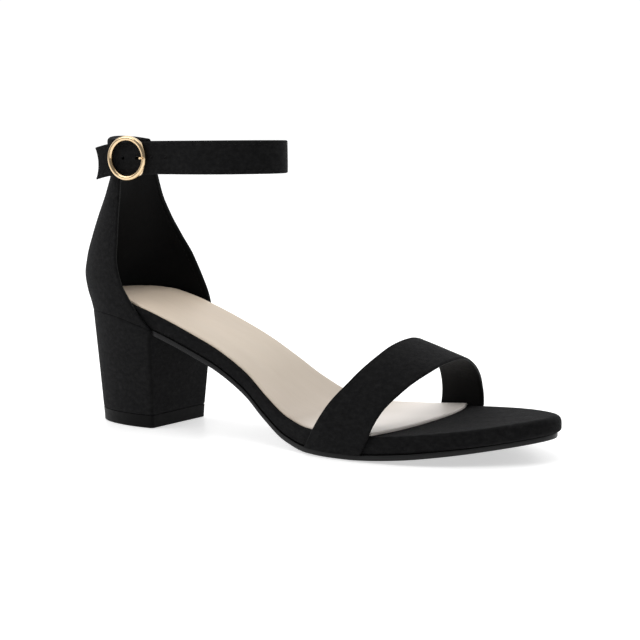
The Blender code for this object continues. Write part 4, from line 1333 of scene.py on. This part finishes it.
def make_prong(gold):
    bar, _, tail, ring_depth = stack_depths()
    turn_radius = prong_turn()
    rest = ring_depth + RING_DEPTH / 2 + PRONG_CLEARANCE + PRONG_DIAMETER / 2
    points = []
    for step in range(19):
        angle = math.radians(PRONG_START_DEG - PRONG_SWEEP_DEG * step / 18)
        points.append(in_buckle(turn_radius * math.cos(angle), bar + turn_radius * math.sin(angle), 0))
    for along, depth in ((0.22, bar + turn_radius + PRONG_CLEARANCE), (0.48, tail),
                         (0.68, rest - PRONG_DIP), (0.85, rest), (1.0, rest + PRONG_CLEARANCE)):
        points.append(in_buckle(along * PRONG_REACH, depth, 0))

    def blunt_tip(share):
        return PRONG_DIAMETER / 2 * (1.0 if share < 0.97 else 0.6)

    bm = bmesh.new()
    sweep_wire(bm, catmull(points, 4), blunt_tip, 16)
    return settle(add_object("buckle_tongue", bm, [gold], 50), "buckle_prong")


def add_node(tree, kind, **values):
    """A node whose sockets take the given numbers, or the outputs that feed them."""
    node = tree.nodes.new("ShaderNode" + kind)
    for name, value in values.items():
        socket = node.inputs[name.replace("_", " ")]
        if isinstance(value, bpy.types.NodeSocket):
            tree.links.new(value, socket)
        else:
            socket.default_value = value
    return node


class Nodes:
    """Short helper for building one material's node tree."""

    def __init__(self, name, color, roughness, metallic=0.0):
        self.material = bpy.data.materials.new(name)
        self.material.use_nodes = True
        self.tree = self.material.node_tree
        self.shader = self.tree.nodes["Principled BSDF"]
        self.shader.inputs["Base Color"].default_value = (*color, 1.0)
        self.shader.inputs["Roughness"].default_value = roughness
        self.shader.inputs["Metallic"].default_value = metallic
        self.coord = self.tree.nodes.new("ShaderNodeTexCoord").outputs["Object"]

    def noise(self, scale, detail=4.0, rough=0.55, stretch=None):
        source = self.coord
        if stretch:
            source = add_node(self.tree, "Mapping", Vector=source, Scale=stretch).outputs["Vector"]
        node = add_node(self.tree, "TexNoise", Vector=source, Scale=scale, Detail=detail,
                        Roughness=rough)
        return node.outputs["Fac"]

    def ramp(self, factor, stops):
        stops = list(stops)
        node = add_node(self.tree, "ValToRGB", Fac=factor)
        while len(node.color_ramp.elements) < len(stops):
            node.color_ramp.elements.new(0.5)
        for element, (place, color) in zip(node.color_ramp.elements, stops):
            element.position = place
            element.color = (*color, 1.0)
        return node.outputs["Color"]

    def along(self, low, high):
        """Place along the shoe, 0 at low and 1 at high."""
        split = add_node(self.tree, "SeparateXYZ", Vector=self.coord)
        node = add_node(self.tree, "MapRange", Value=split.outputs["X"], From_Min=low, From_Max=high)
        return node.outputs["Result"]

    def multiply(self, a, b):
        node = self.tree.nodes.new("ShaderNodeVectorMath")
        node.operation = "MULTIPLY"
        self.tree.links.new(a, node.inputs[0])
        self.tree.links.new(b, node.inputs[1])
        return node.outputs["Vector"]

    def bump(self, height, distance, strength, normal=None):
        sockets = dict(Height=height, Distance=distance, Strength=strength)
        if normal is not None:
            sockets["Normal"] = normal
        return add_node(self.tree, "Bump", **sockets).outputs["Normal"]

    def link(self, output, socket):
        self.tree.links.new(output, self.shader.inputs[socket])

    def vary(self, factor, low, high, socket, places=(0.3, 0.7)):
        """Run a socket from low to high with a noise; a number stands for a grey."""
        colors = [(end,) * 3 if isinstance(end, float) else end for end in (low, high)]
        self.link(self.ramp(factor, zip(places, colors)), socket)

    def fix(self, socket, value):
        self.shader.inputs[socket].default_value = value


def suede_material():
    n = Nodes("black_suede", (0.012, 0.012, 0.013), 0.95)
    mottle = n.noise(420.0, 6.0, 0.7, (1.0, 1.0, 1.4))
    n.link(n.ramp(mottle, [(0.30, (0.0040, 0.0040, 0.0043)), (0.52, (0.0070, 0.0070, 0.0073)),
                           (0.74, (0.0115, 0.0115, 0.0118))]), "Base Color")
    nap = n.noise(2200.0, 4.0, 0.7)
    brush = n.noise(420.0, 4.0, 0.6, (0.5, 1.0, 1.8))
    coarse = n.bump(brush, 0.00025, 0.35)
    n.link(n.bump(nap, 0.00022, 0.75, coarse), "Normal")
    n.vary(mottle, 0.98, 0.80, "Roughness", (0.3, 0.8))
    n.fix("Sheen Weight", 0.03)
    n.fix("Sheen Roughness", 0.45)
    n.fix("Sheen Tint", (0.75, 0.75, 0.80, 1.0))
    n.fix("Specular IOR Level", 0.08)
    return n.material


def lining_material():
    n = Nodes("black_lining", (0.010, 0.010, 0.011), 0.6)
    grain = n.noise(900.0, 3.0, 0.6)
    n.vary(grain, (0.0020, 0.0020, 0.0022), (0.0045, 0.0045, 0.0048), "Base Color")
    n.link(n.bump(grain, 0.0001, 0.35), "Normal")
    n.fix("Specular IOR Level", 0.10)
    n.vary(grain, 0.48, 0.66, "Roughness")
    return n.material


def insole_material():
    n = Nodes("beige_leather", (0.68, 0.56, 0.46), 0.5)
    tone = n.noise(28.0, 3.0, 0.5, (0.6, 1.4, 1.0))
    cloudy = n.ramp(tone, [(0.3, (0.91, 0.91, 0.90)), (0.7, (1.0, 1.0, 1.0))])
    # Painted light and shade along the insole: a painted highlight at the heel, painted shade deepening
    # through the waist to just behind the toe band, and a painted highlight, paler and pinker, at the
    # front under the band, lifting the band's shadow.
    along = n.along(x_of(0.0), INSOLE_FRONT_X + INSOLE_FRONT_CROWN)
    painted_light_along = n.ramp(along, [(0.15, (0.88, 0.73, 0.58)), (0.45, (0.74, 0.63, 0.51)),
                           (0.70, (0.56, 0.475, 0.39)), (0.86, (0.98, 0.91, 0.85))])
    n.link(n.multiply(painted_light_along, cloudy), "Base Color")
    grain = n.noise(1500.0, 3.0, 0.5)
    wrinkle = n.noise(120.0, 4.0, 0.6, (0.35, 2.2, 1.0))
    soft = n.bump(wrinkle, 0.0006, 0.25)
    n.link(n.bump(grain, 0.00006, 0.35, soft), "Normal")
    n.vary(wrinkle, 0.40, 0.54, "Roughness")
    n.fix("Coat Weight", 0.08)
    n.fix("Coat Roughness", 0.35)
    return n.material


def hard_material(name, color, low_rough, high_rough, scale, specular):
    n = Nodes(name, color, low_rough)
    n.fix("Specular IOR Level", specular)
    mark = n.noise(scale, 4.0, 0.6)
    n.vary(mark, tuple(c * 0.75 for c in color), tuple(c * 1.3 for c in color), "Base Color")
    n.vary(mark, low_rough, high_rough, "Roughness")
    n.link(n.bump(mark, 0.00008, 0.3), "Normal")
    return n.material


def gold_material():
    n = Nodes("light_gold", (0.76, 0.57, 0.34), 0.13, 1.0)
    brush = n.noise(1800.0, 3.0, 0.5)
    n.vary(brush, 0.10, 0.18, "Roughness")
    n.vary(brush, (0.68, 0.49, 0.28), (0.80, 0.62, 0.40), "Base Color")
    n.link(n.bump(brush, 0.00002, 0.2), "Normal")
    return n.material


def thread_material():
    n = Nodes("black_thread", (0.008, 0.008, 0.0085), 0.6)
    n.fix("Specular IOR Level", 0.15)
    twist = n.noise(5000.0, 2.0, 0.5)
    n.link(n.bump(twist, 0.00005, 0.5), "Normal")
    n.vary(twist, 0.005, 0.012, "Base Color")
    return n.material


def make_floor():
    n = Nodes("pale_floor", (0.93, 0.93, 0.93), 0.35)
    tone = n.noise(3.0, 2.0, 0.5)
    n.vary(tone, 0.80, 0.81, "Base Color")
    n.fix("Emission Color", (1.0, 1.0, 1.0, 1.0))
    n.fix("Emission Strength", FLOOR_GLOW)
    n.fix("Specular IOR Level", 0.1)
    bm = bmesh.new()
    bmesh.ops.create_grid(bm, x_segments=1, y_segments=1, size=FLOOR_HALF_SIZE)
    floor = new_object("floor", mesh_of("floor", bm))
    floor.data.materials.append(n.material)
    floor.location.z = -FLOOR_DROP


def add_area(name, place, aim, size, power):
    light = bpy.data.lights.new(name, "AREA")
    light.shape = "RECTANGLE"
    light.size, light.size_y = size
    light.energy = power
    holder = new_object(name, light)
    holder.location = place
    holder.rotation_euler = (Vector(aim) - Vector(place)).to_track_quat("-Z", "Y").to_euler()


def make_light():
    world = bpy.data.worlds.new("studio")
    bpy.context.scene.world = world
    world.use_nodes = True
    background = world.node_tree.nodes["Background"]
    background.inputs["Color"].default_value = (1.0, 1.0, 1.0, 1.0)
    # the backdrop side is white and the near side of the studio is dim
    tree = world.node_tree
    coord = add_node(tree, "TexCoord")
    azimuth = math.radians(CAMERA_AZIMUTH_DEG)
    facing = add_node(tree, "VectorMath", Vector=coord.outputs["Generated"])
    facing.operation = "DOT_PRODUCT"
    facing.inputs[1].default_value = (-math.sin(azimuth), math.cos(azimuth), 0.0)
    level = add_node(tree, "MapRange", Value=facing.outputs["Value"], From_Min=STUDIO_FADE[0],
                     From_Max=STUDIO_FADE[1], To_Min=STUDIO_NEAR_LIGHT, To_Max=STUDIO_BACK_LIGHT)
    level.interpolation_type = "SMOOTHSTEP"
    tree.links.new(level.outputs["Result"], background.inputs["Strength"])
    for row in LIGHTS:
        add_area(**row)
    bpy.context.scene.view_settings.view_transform = "Standard"


def make_camera():
    azimuth = math.radians(CAMERA_AZIMUTH_DEG)
    down = math.radians(CAMERA_DOWN_DEG)
    roll = math.radians(CAMERA_ROLL_DEG)
    ahead = Vector((-math.sin(azimuth) * math.cos(down), math.cos(azimuth) * math.cos(down),
                    -math.sin(down)))
    level = Vector((math.cos(azimuth), math.sin(azimuth), 0))
    upright = level.cross(ahead)
    right = level * math.cos(roll) + upright * math.sin(roll)
    up = upright * math.cos(roll) - level * math.sin(roll)
    camera = bpy.data.cameras.new("camera")
    camera.lens = CAMERA_LENS
    camera.sensor_width = CAMERA_SENSOR
    holder = new_object("camera", camera)
    turned = Matrix((right, up, -ahead)).transposed().to_4x4()
    turned.translation = Vector(CAMERA_PLACE)
    holder.matrix_world = turned
    bpy.context.scene.camera = holder


suede = suede_material()
lining = lining_material()
leather = insole_material()
resin = hard_material("sole_satin", (0.005, 0.005, 0.0053), 0.34, 0.5, 300.0, 0.22)
lift = hard_material("lift_satin", (0.0030, 0.0030, 0.0032), 0.42, 0.6, 500.0, 0.06)
gold = gold_material()
thread = thread_material()

make_camera()
make_light()
make_floor()
make_footbed(suede)
make_insole(leather)
make_outsole(resin)
make_block("heel_cover", lambda x: TOP_PIECE_HEIGHT + FIT_GAP / 2,
           lambda x: footbed_bottom(x) - FIT_GAP / 2, (TOP_PIECE_HEIGHT + FIT_GAP) / SEAT_HEIGHT, 1.0,
           HEEL_COVER_EDGE, suede, "heel_block")
make_block("heel_lift", lambda x: 0.0, lambda x: TOP_PIECE_HEIGHT, 0.0,
           TOP_PIECE_HEIGHT / SEAT_HEIGHT, LIFT_EDGE, lift, "top_piece")
make_counter(suede, lining)
make_band(suede, lining)
make_strap(suede)
make_strap_stitches(thread)
make_counter_stitches(thread)
make_buckle(gold)
make_prong(gold)
